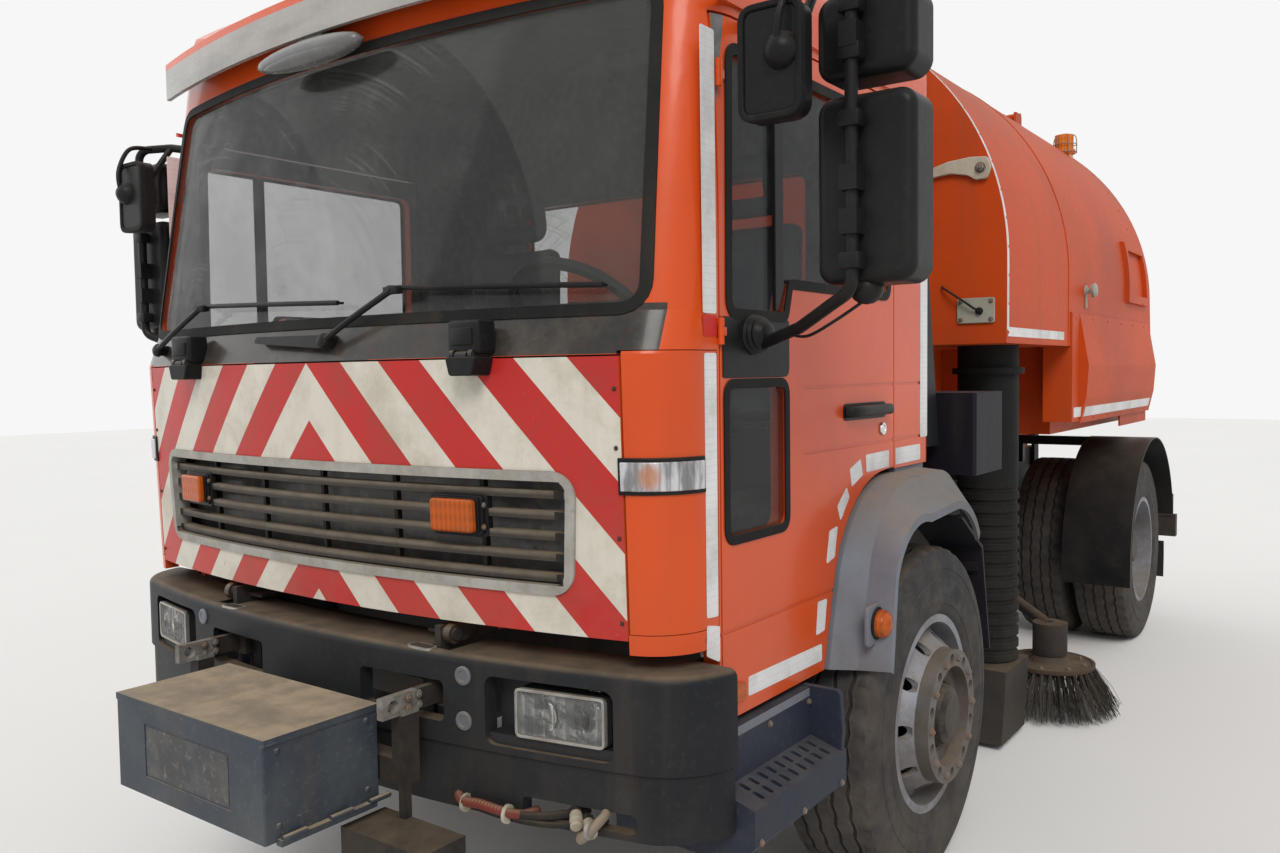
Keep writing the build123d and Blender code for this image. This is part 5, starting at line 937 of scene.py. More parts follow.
tyreForm = {"radius": 510.0, "half": 144.0, "grooves": (-78, -27, 27, 78), "groove": 5.5,
            "depth": 13.0, "steps": 176, "wander": 4.0, "waves": 44, "slot": 7.0, "slotPart": 0.26,
            "wall": [(44, 287), (20, 291), (10, 306), (5.5, 318), (5, 333), (3.2, 334), (2.6, 352),
                     (4.2, 354), (2.4, 380), (0.4, 392), (0, 404), (1.5, 412), (3.6, 413), (4.6, 440),
                     (3, 442), (4.4, 458), (9, 474), (14, 489), (18, 498)]}


def tread(phase, form):        # the tread's outline from one shoulder to the other
    r, half, groove = form["radius"], form["half"], form["groove"]
    wave = (abs(phase % 1 - 0.5) * 4 - 1) * form["wander"]
    slot = form["slot"] if phase % 1 < form["slotPart"] else 0.0
    shoulder = [(half - 24, r - 5.5 - slot), (half - 34, r - 2.4 - slot), (92, r - 1.4 - slot)]
    line = [(-a, b) for a, b in shoulder]
    for n, middle in enumerate(form["grooves"]):
        shift = middle + wave * (1 if n % 2 else -1)
        top = r - (0.9 if abs(middle) > 50 else 0.0)
        cut = 3.5 if (phase + 0.5 * (n % 2)) % 1 > 0.82 else 0.0
        line += [(shift - groove - 2, top - cut), (shift - groove, top - 1.5 - cut),
                 (shift - groove + 1.5, r - form["depth"]), (shift + groove - 1.5, r - form["depth"]),
                 (shift + groove, top - 1.5), (shift + groove + 2, top)]
    return line + shoulder[::-1]


def tyre(shape, centreX, back, form=tyreForm):
    wall = [(inset - form["half"], height) for inset, height in form["wall"]]
    rings = []
    for n, turn in enumerate(turns(form["steps"])):
        line = wall + tread(n / form["steps"] * form["waves"], form) + [(-a, b) for a, b in wall[::-1]]
        out, down = math.sin(turn), math.cos(turn)
        rings.append([shape.mesh.verts.new((centreX + a, back + out * b, form["radius"] - down * b))
                      for a, b in line])
    for first, second in zip(rings, rings[1:] + rings[:1]):
        shape.join(first, second)


wheelForm = {"front": [(1050.0, 0.0)], "rear": [(1008.0, rearAxle), (678.0, rearAxle)], "nutCircle": 175.0,
             "nuts": 10, "outside": 1300.0}
for side, sign in sides.items():
    for end, stem in (("front", "front_tyre_"), ("rear", "rear_tyres_")):
        shape = Shape()
        for x, back in wheelForm[end]:
            tyre(shape, x * sign, back)
        treaded = shape.finish(end + "Tyres." + side, end + "_wheel_" + side, "tyreRubber", sharp=26)
        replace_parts(treaded, stem + side)
for side, sign in sides.items():
    for end, shape in (("front", bolt), ("rear", nut)):
        back, circle = wheelForm[end][0][1], wheelForm["nutCircle"]
        starts = [(sign * wheelForm["outside"], back + math.cos(a) * circle,
                   tyreForm["radius"] + math.sin(a) * circle)
                  for a in turns(wheelForm["nuts"])]
        node = end + "_wheel_" + side
        marks = marksOn(node, starts, (-sign, 0, 0))
        scatter(end + "WheelNuts." + side, marks, shape, node, "nutSteel", "cast_steel")
print("tyres and wheel nuts made")


# gutter brushes and the wide brush: a plate with tufts of wire that flare outwards

brushForm = {"x": 1050.0, "back": 1830.0, "plate": (205.0, 225.0), "rows": (128.0, 158.0, 182.0), "tufts": 34,
             "wires": 13, "wire": 1.7, "length": 228, "foot": 12.0, "tips": (244.0, 270.0, 296.0),
             "rim": 0.319, "ground": 0.007, "boltCircle": 150, "bolts": 8}


def wireClump(length, wires, thick, fan, bend):        # bent wires standing on the origin
    def strayed(by, height):
        return Vector((dice.uniform(-by, by), dice.uniform(-by, by), height))

    def build(shape):
        for _ in range(wires):
            foot = strayed(7, 0)
            tip = Vector((dice.uniform(-fan, fan), dice.uniform(-fan, fan), length * dice.uniform(0.93, 1.0)))
            middle = foot * 0.45 + tip * 0.55 + strayed(bend, 0)
            rings = [shape.ring(here, Vector((1, 0, 0)), Vector((0, 1, 0)), thick * (1 - 0.25 * n), 3)
                     for n, here in enumerate((foot, middle, tip))]
            for first, second in zip(rings, rings[1:]):
                shape.join(first, second)
            shape.mesh.faces.new(rings[0][::-1])
            shape.mesh.faces.new(rings[-1])
    return build


brushClump = smallShape("brushClump", wireClump(brushForm["length"], brushForm["wires"], brushForm["wire"],
                                                15, 13))
for side, sign in sides.items():
    low, high = brushForm["plate"]
    thick = high - low
    body = "gutter_brush_" + side
    centre = Vector((brushForm["x"] * sign, brushForm["back"], 0))
    marks = []
    for row, (radius, reach) in enumerate(zip(brushForm["rows"], brushForm["tips"])):
        for turn in turns(brushForm["tufts"], 0.5 * row):
            out = Vector((math.cos(turn), math.sin(turn), 0))
            root = centre + out * radius + Vector((0, 0, low))
            tip = centre + out * reach + Vector((0, 0, brushForm["foot"]))
            marks.append((tuple(root), tuple(tip - root)))
    wires = scatter("brushWires." + side, marks, brushClump, body, "bristle", "brush_bristle", spread=0.06,
                    lean=0.05, seed=5)
    middle = spot(*centre)
    for v in wires.data.vertices:        # no wire passes the brush's rim or the ground
        flat = Vector((v.co.x - middle.x, v.co.y - middle.y))
        if flat.length > brushForm["rim"]:
            flat = flat.normalized() * brushForm["rim"]
            v.co.x, v.co.y = middle.x + flat.x, middle.y + flat.y
        v.co.z = max(v.co.z, brushForm["ground"])
    profile = [(0, 0), (0, 190), (4, 193), (thick, 193), (thick, 182), (thick - 5, 176), (thick - 5, 96),
               (thick, 88), (thick + 30, 70), (thick + 30, 0)]
    plate = Shape().lathe(profile, (centre.x, centre.y, low), (0, 0, 1), 48)
    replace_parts(plate.finish("brushPlate." + side, body, "castSteel"), body)
    circle = brushForm["boltCircle"]
    marks = [((centre.x + math.cos(a) * circle, centre.y + math.sin(a) * circle, high - 5), (0, 0, 1))
             for a in turns(brushForm["bolts"])]
    scatter("brushBolts." + side, marks, bolt, body, "nutSteel")

rollForm = {"half": 598.0, "radius": 188.0, "core": 60.0, "middle": Vector((0, 2600.0, 215.0)), "rows": 16,
            "along": 50, "margin": 14, "twist": 0.0035}
rollClump = smallShape("rollClump", wireClump(rollForm["radius"] - rollForm["core"], 4, 2.4, 9, 4))
marks = []
for turn in turns(rollForm["rows"]):
    for n in range(rollForm["along"]):
        x = (rollForm["half"] - rollForm["margin"]) * (2 * n / (rollForm["along"] - 1) - 1)
        turned = turn + x * rollForm["twist"]
        out = Vector((0, math.cos(turned), math.sin(turned)))
        marks.append((tuple(rollForm["middle"] + Vector((x, 0, 0)) + out * rollForm["core"]), tuple(out)))
scatter("rollBristles", marks, rollClump, "roller", "bristle", "brush_bristle", spread=0.05, lean=0.06,
        seed=8)
reach = Vector((rollForm["half"], 0, 0))
core = Shape().rod(rollForm["middle"] - reach, rollForm["middle"] + reach, rollForm["core"] + 2, 24, edge=4)
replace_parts(core.finish("rollCore", "roller", "bristle"), "wide_brush")
print("brushes made")


# front of the cab: hinge covers, wipers, window seals, lamps, chevron screws

# a frame round an opening
def seal(name, body, outline, reach, depth, place, finishName="rubber", **more):
    shape = Shape().slab(grown(outline, reach[0]), *depth, place, hole=grown(outline, reach[1]))
    shape.finish(name, body, finishName, **more)


hingeCover = {"x": (540, 640), "split": 1608, "top": 1690, "low": 1562, "front": -1390}
for side, sign in sides.items():
    x0, x1 = sorted(sign * x for x in hingeCover["x"])
    split, top, low = hingeCover["split"], hingeCover["top"], hingeCover["low"]
    shape = Shape().block((x0, -1380, split + 3), (x1, -1318, top), 10, steps=3)
    shape.block((x0 + 16, -1385, split + 24), (x1 - 16, -1374, top - 18), 4)
    shape.finish("hingeCover." + side, "cab", "blackPlastic")
    foot = rounded([(x0 + 1, split - 2), (x1 - 1, split - 2), (x1 - 14, low), (x0 + 14, low)], 9, 4)
    shape = Shape().slab(foot, -62, 0, facing(hingeCover["front"]))
    shape.finish("hingeFoot." + side, "flap", "blackPlastic", edge=3)

wiperForm = [
    {"root": (-226, 1664), "pivot": (81, 1655), "elbow": (318, 1774),
     "blade": ((290, 1782), (904, 1758))},
    {"root": (-906, 1651), "pivot": (-866, 1655), "elbow": (-566, 1772),
     "blade": ((-606, 1780), (111, 1754))},
]
wiper = Shape()
for form in wiperForm:
    (x0, z0), (x1, z1), (x2, z2) = form["root"], form["pivot"], form["elbow"]
    corners = [(x0, z0 - 6), (x1 + 22, z1 - 19), (x1 + 30, z1 + 17), (x0, z0 + 12)]
    wiper.slab(rounded(corners, [9, 16, 16, 9], 4), 2, 27, onFace)
    wiper.lathe([(0, 0), (0, 21), (12, 20), (18, 12), (18, 0)], overFace(x1 + 4, z1, 22), (0, -1, 0.2), 20)
    joint = overFace(x1 + (x2 - x1) * 0.45, z1 + (z2 - z1) * 0.45, 40)
    wiper.tube([overFace(x1 + 4, z1, 30), joint, overFace(x2, z2, 38)], 8.5, 8)
    half = Vector((26, 0, 9))
    wiper.block(overFace(x2, z2, 44) - half, overFace(x2, z2, 22) + half, 3)
    (x3, z3), (x4, z4) = form["blade"]
    line = [(x3 + (x4 - x3) * k / 12, z3 + (z4 - z3) * k / 12) for k in range(13)]
    wiper.slab([(x, z + 3) for x, z in line] + [(x, z - 3) for x, z in line[::-1]], 5, 22, onFace)
    wiper.tube([overFace(x, z, 24) for x, z in line], 6.5, 8, 3)
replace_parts(wiper.finish("wiperArms", "cab", "blackPlastic"), "wipers")

screen = rounded([(-985, 1712), (985, 1712), (955, 2432), (-955, 2432)], 55, 6)
outline = []
for first, second in zip(screen, screen[1:] + screen[:1]):        # short parts that follow the cab's bow
    parts = max(1, int((second - first).length / 60))
    outline += [first + (second - first) * k / parts for k in range(parts)]
seal("screenSeal", "cab", outline, (20, -7), (-3, 3.5), onFace, sharp=30)
seal("rearPaneSeal", "cab", oblong((-650, 650), (1850, 2250), 60, 6), (20, -5), (-2, 3), facing(250, 1))

lampForm = {"x": {"left": 512, "right": -628}, "z": 1233, "wide": 84, "high": 52, "screws": 26,
            "case": [(0, 14, -22, -4), (9, 12, -4, 3), (17, 10, 3, 8)], "lens": (21, 10, 8, 27)}
for side, x in lampForm["x"].items():
    z, wide, high = lampForm["z"], lampForm["wide"], lampForm["high"]

    def addStep(shape, inset, radius, low, top):        # one layer, smaller than the one behind it
        across, up = wide - inset, high - inset * 0.6
        shape.slab(oblong((x - across, x + across), (z - up, z + up), radius, 4), low, top, onFace)

    case, lens = Shape(), Shape()
    for layer in lampForm["case"]:
        addStep(case, *layer)
    addStep(lens, *lampForm["lens"])
    case.finish("grilleLampCase." + side, "flap", "blackPlastic", sharp=30, edge=1.5)
    lens.finish("grilleLamp." + side, "flap", "amberLens", sharp=30, edge=5)
    marks = [(onFace(x + a * (wide - 8), z, -1)[:2] + (z + b * lampForm["screws"],), (0, -1, 0.1))
             for a in (-1, 1) for b in (-1, 1)]
    scatter("grilleLampScrews." + side, marks, smallBolt, "flap", "nutSteel", size=0.8)

marks = [(onFace(x, z, 0.5), (0, -1, 0)) for x in (-940, 940) for z in (1010, 1200, 1400, 1530)]
scatter("flapScrews", marks, smallBolt, "flap", "castSteel", size=0.6)

roofLamp = {"x": (-326, 140), "back": -1268.0, "z": 2440.0, "radius": 42.0}


def bean(x, radius, back, z, flat):        # a long drop shape lying across the vehicle
    profile = []
    for t in (k / 14 for k in range(15)):
        swell = math.sqrt(max(0, 1 - (2 * t - 1) ** 2)) * (0.86 + 0.14 * t)
        profile.append((t * (x[1] - x[0]), radius * swell))
    shape = Shape().lathe(profile, (x[0], back, z), (1, 0, 0), 28)
    for v in shape.mesh.verts:
        v.co.z = z + (v.co.z - z) * flat
    return shape


(x0, x1), radius, back, z = (roofLamp[key] for key in ("x", "radius", "back", "z"))
bean((x0, x1), radius, back, z, 0.92).finish("roofLampHood", "cab", "lampHood", sharp=60)
lens = bean((x0 + 34, x1 - 30), radius - 6, back - 5, z - 9, 0.9)
lens.finish("roofLampLens", "cab", "lampHood", "lamp_lens", sharp=60)
Shape().block((-150, -1262, 2462), (-40, -1215, 2500), 6).finish("roofLampFoot", "cab", "lampHood")


# cab corners and doors

cornerLamp = {"height": (1306, 1370), "turn": (6, 80), "rows": 13, "middle": 251}


def cornerShell(name, sign, height, turn, out, thick, finishName):        # a shell round the cab's corner
    def rowsAt(reach):
        rows = []
        radius = cabForm["corner"] + reach
        for k in range(cornerLamp["rows"]):
            a = math.radians(turn[0] + (turn[1] - turn[0]) * k / (cornerLamp["rows"] - 1))
            x = sign * (cabForm["half"] - cabForm["corner"] + radius * math.cos(a))
            rows.append([(x, noseAt(z) + cornerLamp["middle"] - radius * math.sin(a), z)
                         for z in (height[0], sum(height) / 2, height[1])])
        return rows

    Shape().between(rowsAt(out), rowsAt(out + thick)).finish(name, "cab", finishName, edge=2.5)


tapes = {        # corners as (back, height), by what carries them
    "cab": {
        "postTape": [(-1120, 1694), (-1064, 1694), (-1064, 2320), (-1122, 2320)],
        "postTapeRed": [(-1118, 1642), (-1062, 1642), (-1062, 1690), (-1120, 1690)],
        "cornerTape": [(-1116, 1012), (-1068, 1008), (-1066, 1606), (-1116, 1606)],
        "lowTape": [(-1118, 926), (-1062, 900), (-1062, 984), (-1116, 996)],
        "rearTape": [(166, 1345), (226, 1345), (230, 2330), (170, 2330)],
        "rearTapeLow": [(-36, 1272), (166, 1274), (165, 1324), (-36, 1323)],
    },
    "door": {
        "doorTapeOne": [(-252, 1267), (-88, 1270), (-88, 1321), (-256, 1318)],
        "doorTapeTwo": [(-353, 1234), (-276, 1262), (-293, 1309), (-364, 1286)],
        "doorTapeThree": [(-426, 1146), (-368, 1207), (-386, 1238), (-446, 1190)],
        "doorTapeFour": [(-515, 1040), (-464, 1052), (-444, 1136), (-495, 1128)],
        "doorTapeFive": [(-578, 858), (-528, 862), (-512, 946), (-566, 946)],
        "sillTape": [(-936, 788), (-545, 783), (-545, 829), (-934, 835)],
        "sideReflector": [(-1030, 792), (-956, 789), (-956, 830), (-1030, 836)],
    },
}
tapeLooks = {"postTapeRed": ("redTape", 0.9), "sideReflector": ("amberLens", 7)}        # finish and thickness
doorForm = {
    "window": rounded([(-1008, 1700), (-742, 1700), (-716, 1785), (-92, 1785), (-92, 2296), (-1000, 2296)],
                      [34, 20, 20, 34, 34, 34], 6),
    "kerbWindow": oblong((-1022, -738), (1175, 1532), 30, 6),
    "plates": {        # outline, depths and rounded edge
        "doorTrim": (oblong((-1040, -722), (1549, 1690), [8, 26, 10, 8], 4), (0.2, 3), 1.5),
        "windowBar": (rounded([(-794, 1700), (-752, 1768), (-752, 2292), (-794, 2292)], 6, 3), (-6, 4), 1.5),
        "handlePlate": (oblong((-408, -112), (1422, 1470), 20), (0.2, 2.5), 1),
    },
    "handle": [(1078, -392, 1446), (1096, -382, 1447), (1106, -340, 1448), (1107, -250, 1448),
               (1106, -160, 1448), (1096, -126, 1447), (1078, -118, 1446)],
    "lock": (1075.2, -137, 1388), "archLamp": (-438, 878),
}
for side, sign in sides.items():
    height, turn = cornerLamp["height"], cornerLamp["turn"]
    cornerShell("indicatorRim." + side, sign, (height[0] - 9, height[1] + 9), (3, 83), 0.3, 5, "blackPlastic")
    cornerShell("indicatorLens." + side, sign, height, turn, 4.0, 7, "cornerLens")
    door, onDoor = "door_" + side, onSide(sign)
    for carrier, pieces in tapes.items():
        for name, corners in pieces.items():
            finishName, thick = tapeLooks.get(name, ("tape", 0.9))
            shape = Shape().slab(rounded(corners, 6, 3), 0.15, thick, onDoor)
            shape.finish(name + "." + side, door if carrier == "door" else carrier, finishName)

    seal("windowRubber." + side, door, doorForm["window"], (17, -9), (-1, 3.5), onDoor, edge=1)
    seal("kerbWindowRubber." + side, door, doorForm["kerbWindow"], (15, -8), (-1, 4), onDoor, edge=1)
    for name, (outline, depth, edge) in doorForm["plates"].items():
        Shape().slab(outline, *depth, onDoor).finish(name + "." + side, door, "blackPlastic", edge=edge)
    handle = Shape().tube([(sign * x, back, z) for x, back, z in doorForm["handle"]], 11, 12, 5)
    for v in handle.mesh.verts:        # taller than it is deep
        v.co.z = 1447 + (v.co.z - 1447) * 1.45
    handle.finish("doorHandle." + side, door, "blackPlastic", sharp=50)
    x, back, z = doorForm["lock"]
    profile = [(0, 0), (0, 19), (3, 20), (6, 18), (6, 12), (4.5, 11), (4.5, 0)]
    lock = Shape().lathe(profile, (sign * x, back, z), (sign, 0, 0), 28)
    lock.block((sign * 1079 - 1, back - 2, z - 7), (sign * 1079 + 1, back + 2, z + 7), 0.4)
    lock.finish("doorLock." + side, door, "chrome", sharp=30)

    outer = touch("arch_flares", (sign * 1400, -436, 876), (-sign, 0, 0))
    if outer:        # lamp on the wheel arch
        base = Shape().slab(oblong((-500, -376), (822, 930), 14, 4), -8, 3, onSide(sign, abs(outer.x)))
        base.finish("archLampBase." + side, "cab", "greyPlastic", edge=2)
        centre = (sign * abs(outer.x), *doorForm["archLamp"])
        foot = Shape().lathe([(0, 0), (0, 44), (8, 44), (10, 40), (10, 0)], centre, (sign, 0, 0))
        foot.finish("archLampFoot." + side, "cab", "blackPlastic")
        bulb = [(9, 0), (9, 38), (24, 37), (34, 32), (41, 22), (44, 10), (45, 0)]
        Shape().lathe(bulb, centre, (sign, 0, 0)).finish("archLamp." + side, "cab", "amberLens", sharp=50)
print("cab front and doors made")


# bumper: lamp insides, round caps, latch holes, bracket bolts, couplings and hoses

bumperForm = {"bowls": {"outer": (846, 30), "inner": (762, 36)}, "bowlHeight": 789,
              "pocket": ((690, 916), (732, 845)), "caps": (548, (856, 748)), "latch": (400, -1352),
              "ovals": {"latchRim": (42, 18, 0.9, "bareSteel"), "latchHole": (36, 13, 1.6, "rubber")}}
for side, sign in sides.items():
    depth = levelOf("headlamps", sign * 800, 790, -1290)
    z = bumperForm["bowlHeight"]
    for name, (x, radius) in bumperForm["bowls"].items():
        front = levelOf("headlamps", sign * x, z, depth) - 0.5
        profile = [(0, 0), (0, radius + 2), (1.5, radius + 2), (2.5, radius - 1), (0.8, radius * 0.6),
                   (0.8, 12), (3.5, 9), (4.5, 0)]
        bowl = Shape().lathe(profile, (sign * x, front, z), (0, -1, 0), 36)
        bowl.finish("lampBowl." + name + "." + side, "chassis", "lampReflector", sharp=50)

    def onLamp(u, v, out):        # over the headlamp's glass, kept clear of its edges
        x = sign * max(min(abs(u), 912), 694)
        return (u, levelOf("headlamps", x, max(min(v, 842), 735), depth) - out, v)

    across, up = bumperForm["pocket"]
    pocket = oblong([sign * x for x in across], up, 14)
    seal("lampRim." + side, "chassis", pocket, (1, -6), (-4, 9), onLamp, "bareSteel", slot="lamp_lens",
         sharp=40, edge=1)
    Shape().slab(grown(pocket, -5), 5, 7.5, onLamp).finish("lampPane." + side, "chassis", "lampGlass")
    x, heights = bumperForm["caps"]
    for n, z in enumerate(heights):
        front = levelOf("front_bumper", sign * x, z, -1350)
        profile = [(-6, 0), (-6, 23), (4, 23), (6.5, 20), (6.5, 14), (4, 12), (4, 0)]
        cap = Shape().lathe(profile, (sign * x, front, z), (sign * 0.12, -1, 0), 28)
        cap.finish("bumperCap%d." % n + side, "chassis", "greyPlastic", sharp=30)
    x, back = sign * bumperForm["latch"][0], bumperForm["latch"][1]
    top = touch("front_bumper", (x, back, 1200), (0, 0, -1))
    level = (top.z if top else 905) - 0.4
    for name, (half, deep, high, finishName) in bumperForm["ovals"].items():
        oval = oblong((x - half, x + half), (back - deep, back + deep), deep - 0.5, 6)
        shape = Shape().slab(oval, -5, high, lambda u, v, out: (u, v, level + out))
        shape.finish(name + "." + side, "chassis", finishName, "black_rubber")
    marks = []
    for way in (-1, 1):
        starts = [(sign * 430 + way * 60, back, z) for back in (-1436, -1404) for z in (781, 806)]
        marks += marksOn("front_carrier", starts, (-way, 0, 0))
    scatter("bracketBolts." + side, marks, bolt, "chassis", "nutSteel", size=0.85)

hoses = {        # finish, radius and path
    "redHose": ("redHose", 10.5, [(520, -1262, 585), (505, -1330, 566), (545, -1368, 560), (610, -1372, 566),
                                  (668, -1362, 560), (700, -1330, 548), (712, -1285, 545)]),
    "blackHose": ("rubber", 10, [(470, -1270, 590), (500, -1322, 552), (600, -1352, 546), (720, -1330, 550),
                                 (800, -1300, 562), (850, -1262, 575)]),
    "thinHose": ("rubber", 7, [(470, -1262, 575), (560, -1335, 541), (690, -1340, 538), (800, -1310, 541),
                               (900, -1262, 560)]),
    "clearHose": ("clearHose", 11, [(905, -1262, 590), (915, -1300, 582), (908, -1332, 566),
                                    (890, -1342, 545), (872, -1325, 537), (850, -1285, 540)]),
}
for name, (finishName, radius, path) in hoses.items():
    shape = Shape().tube(path, radius, 12, 14)
    if name == "redHose":        # ribs along it
        line = smoothLine([Vector(p) for p in path], 14)
        rib = [(-2, radius - 0.5), (-1, radius + 1.6), (1, radius + 1.6), (2, radius - 0.5)]
        for here, ahead in zip(line[1:-1:2], line[2::2]):
            shape.lathe(rib, here, ahead - here, 12)
    shape.finish(name, "chassis", finishName, sharp=60)
couplings = [((838, -1300, 574), (0.6, -0.7, -0.25)), ((868, -1296, 560), (0.75, -0.6, -0.2))]
for n, (centre, way) in enumerate(couplings):
    profile = [(0, 0), (0, 13), (8, 15), (26, 15), (28, 11), (32, 11), (34, 14), (44, 14), (47, 10), (47, 0)]
    Shape().lathe(profile, centre, way, 20).finish("coupling%d" % n, "chassis", "creamLever", sharp=30)
    foot = Vector(centre) - Vector(way) * 12
    shape = Shape().lathe([(0, 0), (0, 17), (14, 17), (14, 0)], foot, way, 6)
    shape.finish("couplingNut%d" % n, "chassis", "blackPlastic")
for n, centre in enumerate(((552, -1362, 553), (676, -1352, 552), (905, -1332, 566))):
    shape = Shape().lathe([(-4, 0), (-4, 22), (4, 22), (4, 0)], centre, (1, 0.15, 0), 16)
    shape.finish("hoseTie%d" % n, "chassis", "creamLever" if n < 2 else "bareSteel", noSlot)
print("bumper details made")


# grey box on its carrier

boxForm = {"x": (-240, 371), "front": -1780.0, "plate": (-112, 243, 605, 735), "hinge": 562,
           "latches": (-170, 300)}
left, right, low, high = boxForm["plate"]
level = levelOf("control_box", 65, 670, -1776)
plate = Shape().slab(oblong((left + 6, right - 6), (low + 6, high - 6), 8, 4), 0.1, 1.3, facing(level))
plate.finish("boxPlate", "chassis", "darkPlate", edge=0.5)
marks = [((x, max(level, -1778.5) + 0.4, z), (0, -1, 0))
         for x in (left + 22, right - 22) for z in (low + 20, high - 20)]
scatter("boxPlateRivets", marks, rivet, "chassis", "nutSteel", size=0.58)
(x0, x1), front, z = boxForm["x"], boxForm["front"], boxForm["hinge"]
hinge = Shape().rod((x0 + 20, front + 9, z), (x1 - 20, front + 9, z), 4.5, 14)
hinge.finish("boxHinge", "chassis", "bareSteel")
for n, x in enumerate(boxForm["latches"]):
    latch = Shape().block((x - 24, front + 1.2, 772), (x + 24, front + 8, 786), 1.5)
    latch.block((x - 9, front + 0.6, 752), (x + 9, front + 6, 776), 1.5)
    latch.finish("boxLatch%d" % n, "chassis", "bareSteel")
marks = []
for way in (-1, 1):
    starts = [(65 + way * 500, back, z) for back in (-1745, -1505) for z in (590, 755)]
    marks += marksOn("control_box", starts, (-way, 0, 0))
scatter("boxSideRivets", marks, rivet, "chassis", "boxSteel", size=1.2)
print("box finished")


# steps, mirrors

marks = []
for sign in (-1, 1):
    starts = [(sign * 1400, back, z) for back in (-1062, -854, -646) for z in (700, 505)]
    marks += marksOn("cab_steps", starts, (-sign, 0, 0))
scatter("stepBolts", marks, smallBolt, "chassis", "nutSteel")

guardForm = {"outline": [(1066, 742), (1174, 742), (1181, 640), (1176, 560), (1152, 482), (1104, 438),
                         (1066, 438)],
             "radii": [3, 16, 60, 50, 50, 30, 3], "back": (-642, -624)}
mirrorForm = {
    "glass": {"upper": (1770, 2116), "lower": (2194, 2328)}, "across": (1322, 1498), "corner": 34,
    "boot": [(0, 0), (0, 47), (7, 48), (13, 41), (19, 45), (25, 38), (31, 41), (37, 33), (46, 28), (52, 16),
             (52, 0)],
    "knuckle": [(0, 0), (3, 16), (12, 28), (26, 36), (40, 37), (52, 31), (62, 18), (66, 0)],
    "lead": [(1398, -984, 1712), (1346, -1012, 1672), (1262, -984, 1640), (1196, -948, 1648)],
    "near": ((1190, 1336), (2080, 2318)), "nearBack": -1150,
    "ball": [(0, 0), (0, 40), (12, 36), (24, 28), (33, 16), (37, 0)],
    "stem": [(1290, -1172, 2216), (1300, -1172, 2290), (1320, -1120, 2376), (1344, -1030, 2396)],
    "pole": 1395, "clamps": (1790, 2080, 2216, 2312),
}
for side, sign in sides.items():
    door = "door_" + side
    edge = touch("cab_steps", (sign * 1400, -854, 722), (-sign, 0, 0))
    if edge:        # pale strip along the upper step
        strip = Shape().slab(oblong((-1084, -626), (714, 735), 4, 3), -2, 1.2, onSide(sign, abs(edge.x)))
        strip.finish("stepEdge." + side, "chassis", "greyPlastic", "grey_plastic")
    guard = Shape().slab(rounded(guardForm["outline"], guardForm["radii"], 6), *guardForm["back"],
                         facing(0, 1, sign))
    guard.finish("stepGuard." + side, "chassis", "stepPlastic", edge=5)
    for name, heights in mirrorForm["glass"].items():
        glass = oblong(mirrorForm["across"], heights, mirrorForm["corner"], 6)
        hit = touch("mirror_" + side, (sign * 1410, -700, sum(heights) / 2), (0, -1, 0))
        if hit:
            onGlass = facing(hit.y, 1, sign)
            pane = Shape().slab(glass, 0.2, 2.4, onGlass)
            pane.finish(name + "MirrorGlass." + side, door, "mirrorGlass", edge=0.8)
            seal(name + "MirrorRim." + side, door, glass, (7, -1), (-3, 3.6), onGlass, edge=1)
    arm = Shape().lathe(mirrorForm["boot"], (sign * 1076, -905, 1650), (sign, -0.12, 0.05), 24)
    arm.lathe(mirrorForm["knuckle"], (sign * 1398, -978, 1702), (0, 0, 1), 24)
    arm.tube([(sign * x, back, z) for x, back, z in mirrorForm["lead"]], 3.6, 8, 8)
    arm.finish("mirrorBoot." + side, door, "blackPlastic", sharp=40)
    near, back = oblong(*mirrorForm["near"], 36, 6), mirrorForm["nearBack"]
    seal("nearMirrorRim." + side, door, near, (1, -13), (-16, 6), facing(back, -1, sign), edge=3)
    stem = Shape().lathe(mirrorForm["ball"], (sign * 1290, back, 2214), (0, -1, 0), 24)
    stem.tube([(sign * x, back, z) for x, back, z in mirrorForm["stem"]], 7.5, 10, 8)
    stem.finish("nearMirrorStem." + side, door, "blackPlastic", sharp=50)
    clamps = Shape()
    x = sign * mirrorForm["pole"]
    for z in mirrorForm["clamps"]:
        clamps.block((x - 24, -1064, z - 17), (x + 24, -1026, z + 17), 5)
    clamps.finish("mirrorClamps." + side, door, "blackPlastic")
print("mirrors made")


# hopper: tape, screws, lever, plate with its cable, knob, beacon guard

hopperForm = {"axis": 1985.0, "outside": 1500.0, "rim": (1004, 1015, 1026), "rimSteps": 48, "rimLeast": 1040}


def sideTape(name, node, sign, backs, heights, columns=24):        # tape that follows the node's side
    rows = []
    for k in range(columns + 1):
        back = backs[0] + (backs[1] - backs[0]) * k / columns
        row = [touch(node, (sign * hopperForm["outside"], back, z), (-sign, 0, 0))
               for z in (heights[0], sum(heights) / 2, heights[1])]
        if all(row):
            rows.append([p + Vector((sign * 0.2, 0, 0)) for p in row])
    if len(rows) > 2:
        Shape().skin(rows, 1.0, (sign, 0, 0)).finish(name, "hopper", "tape")


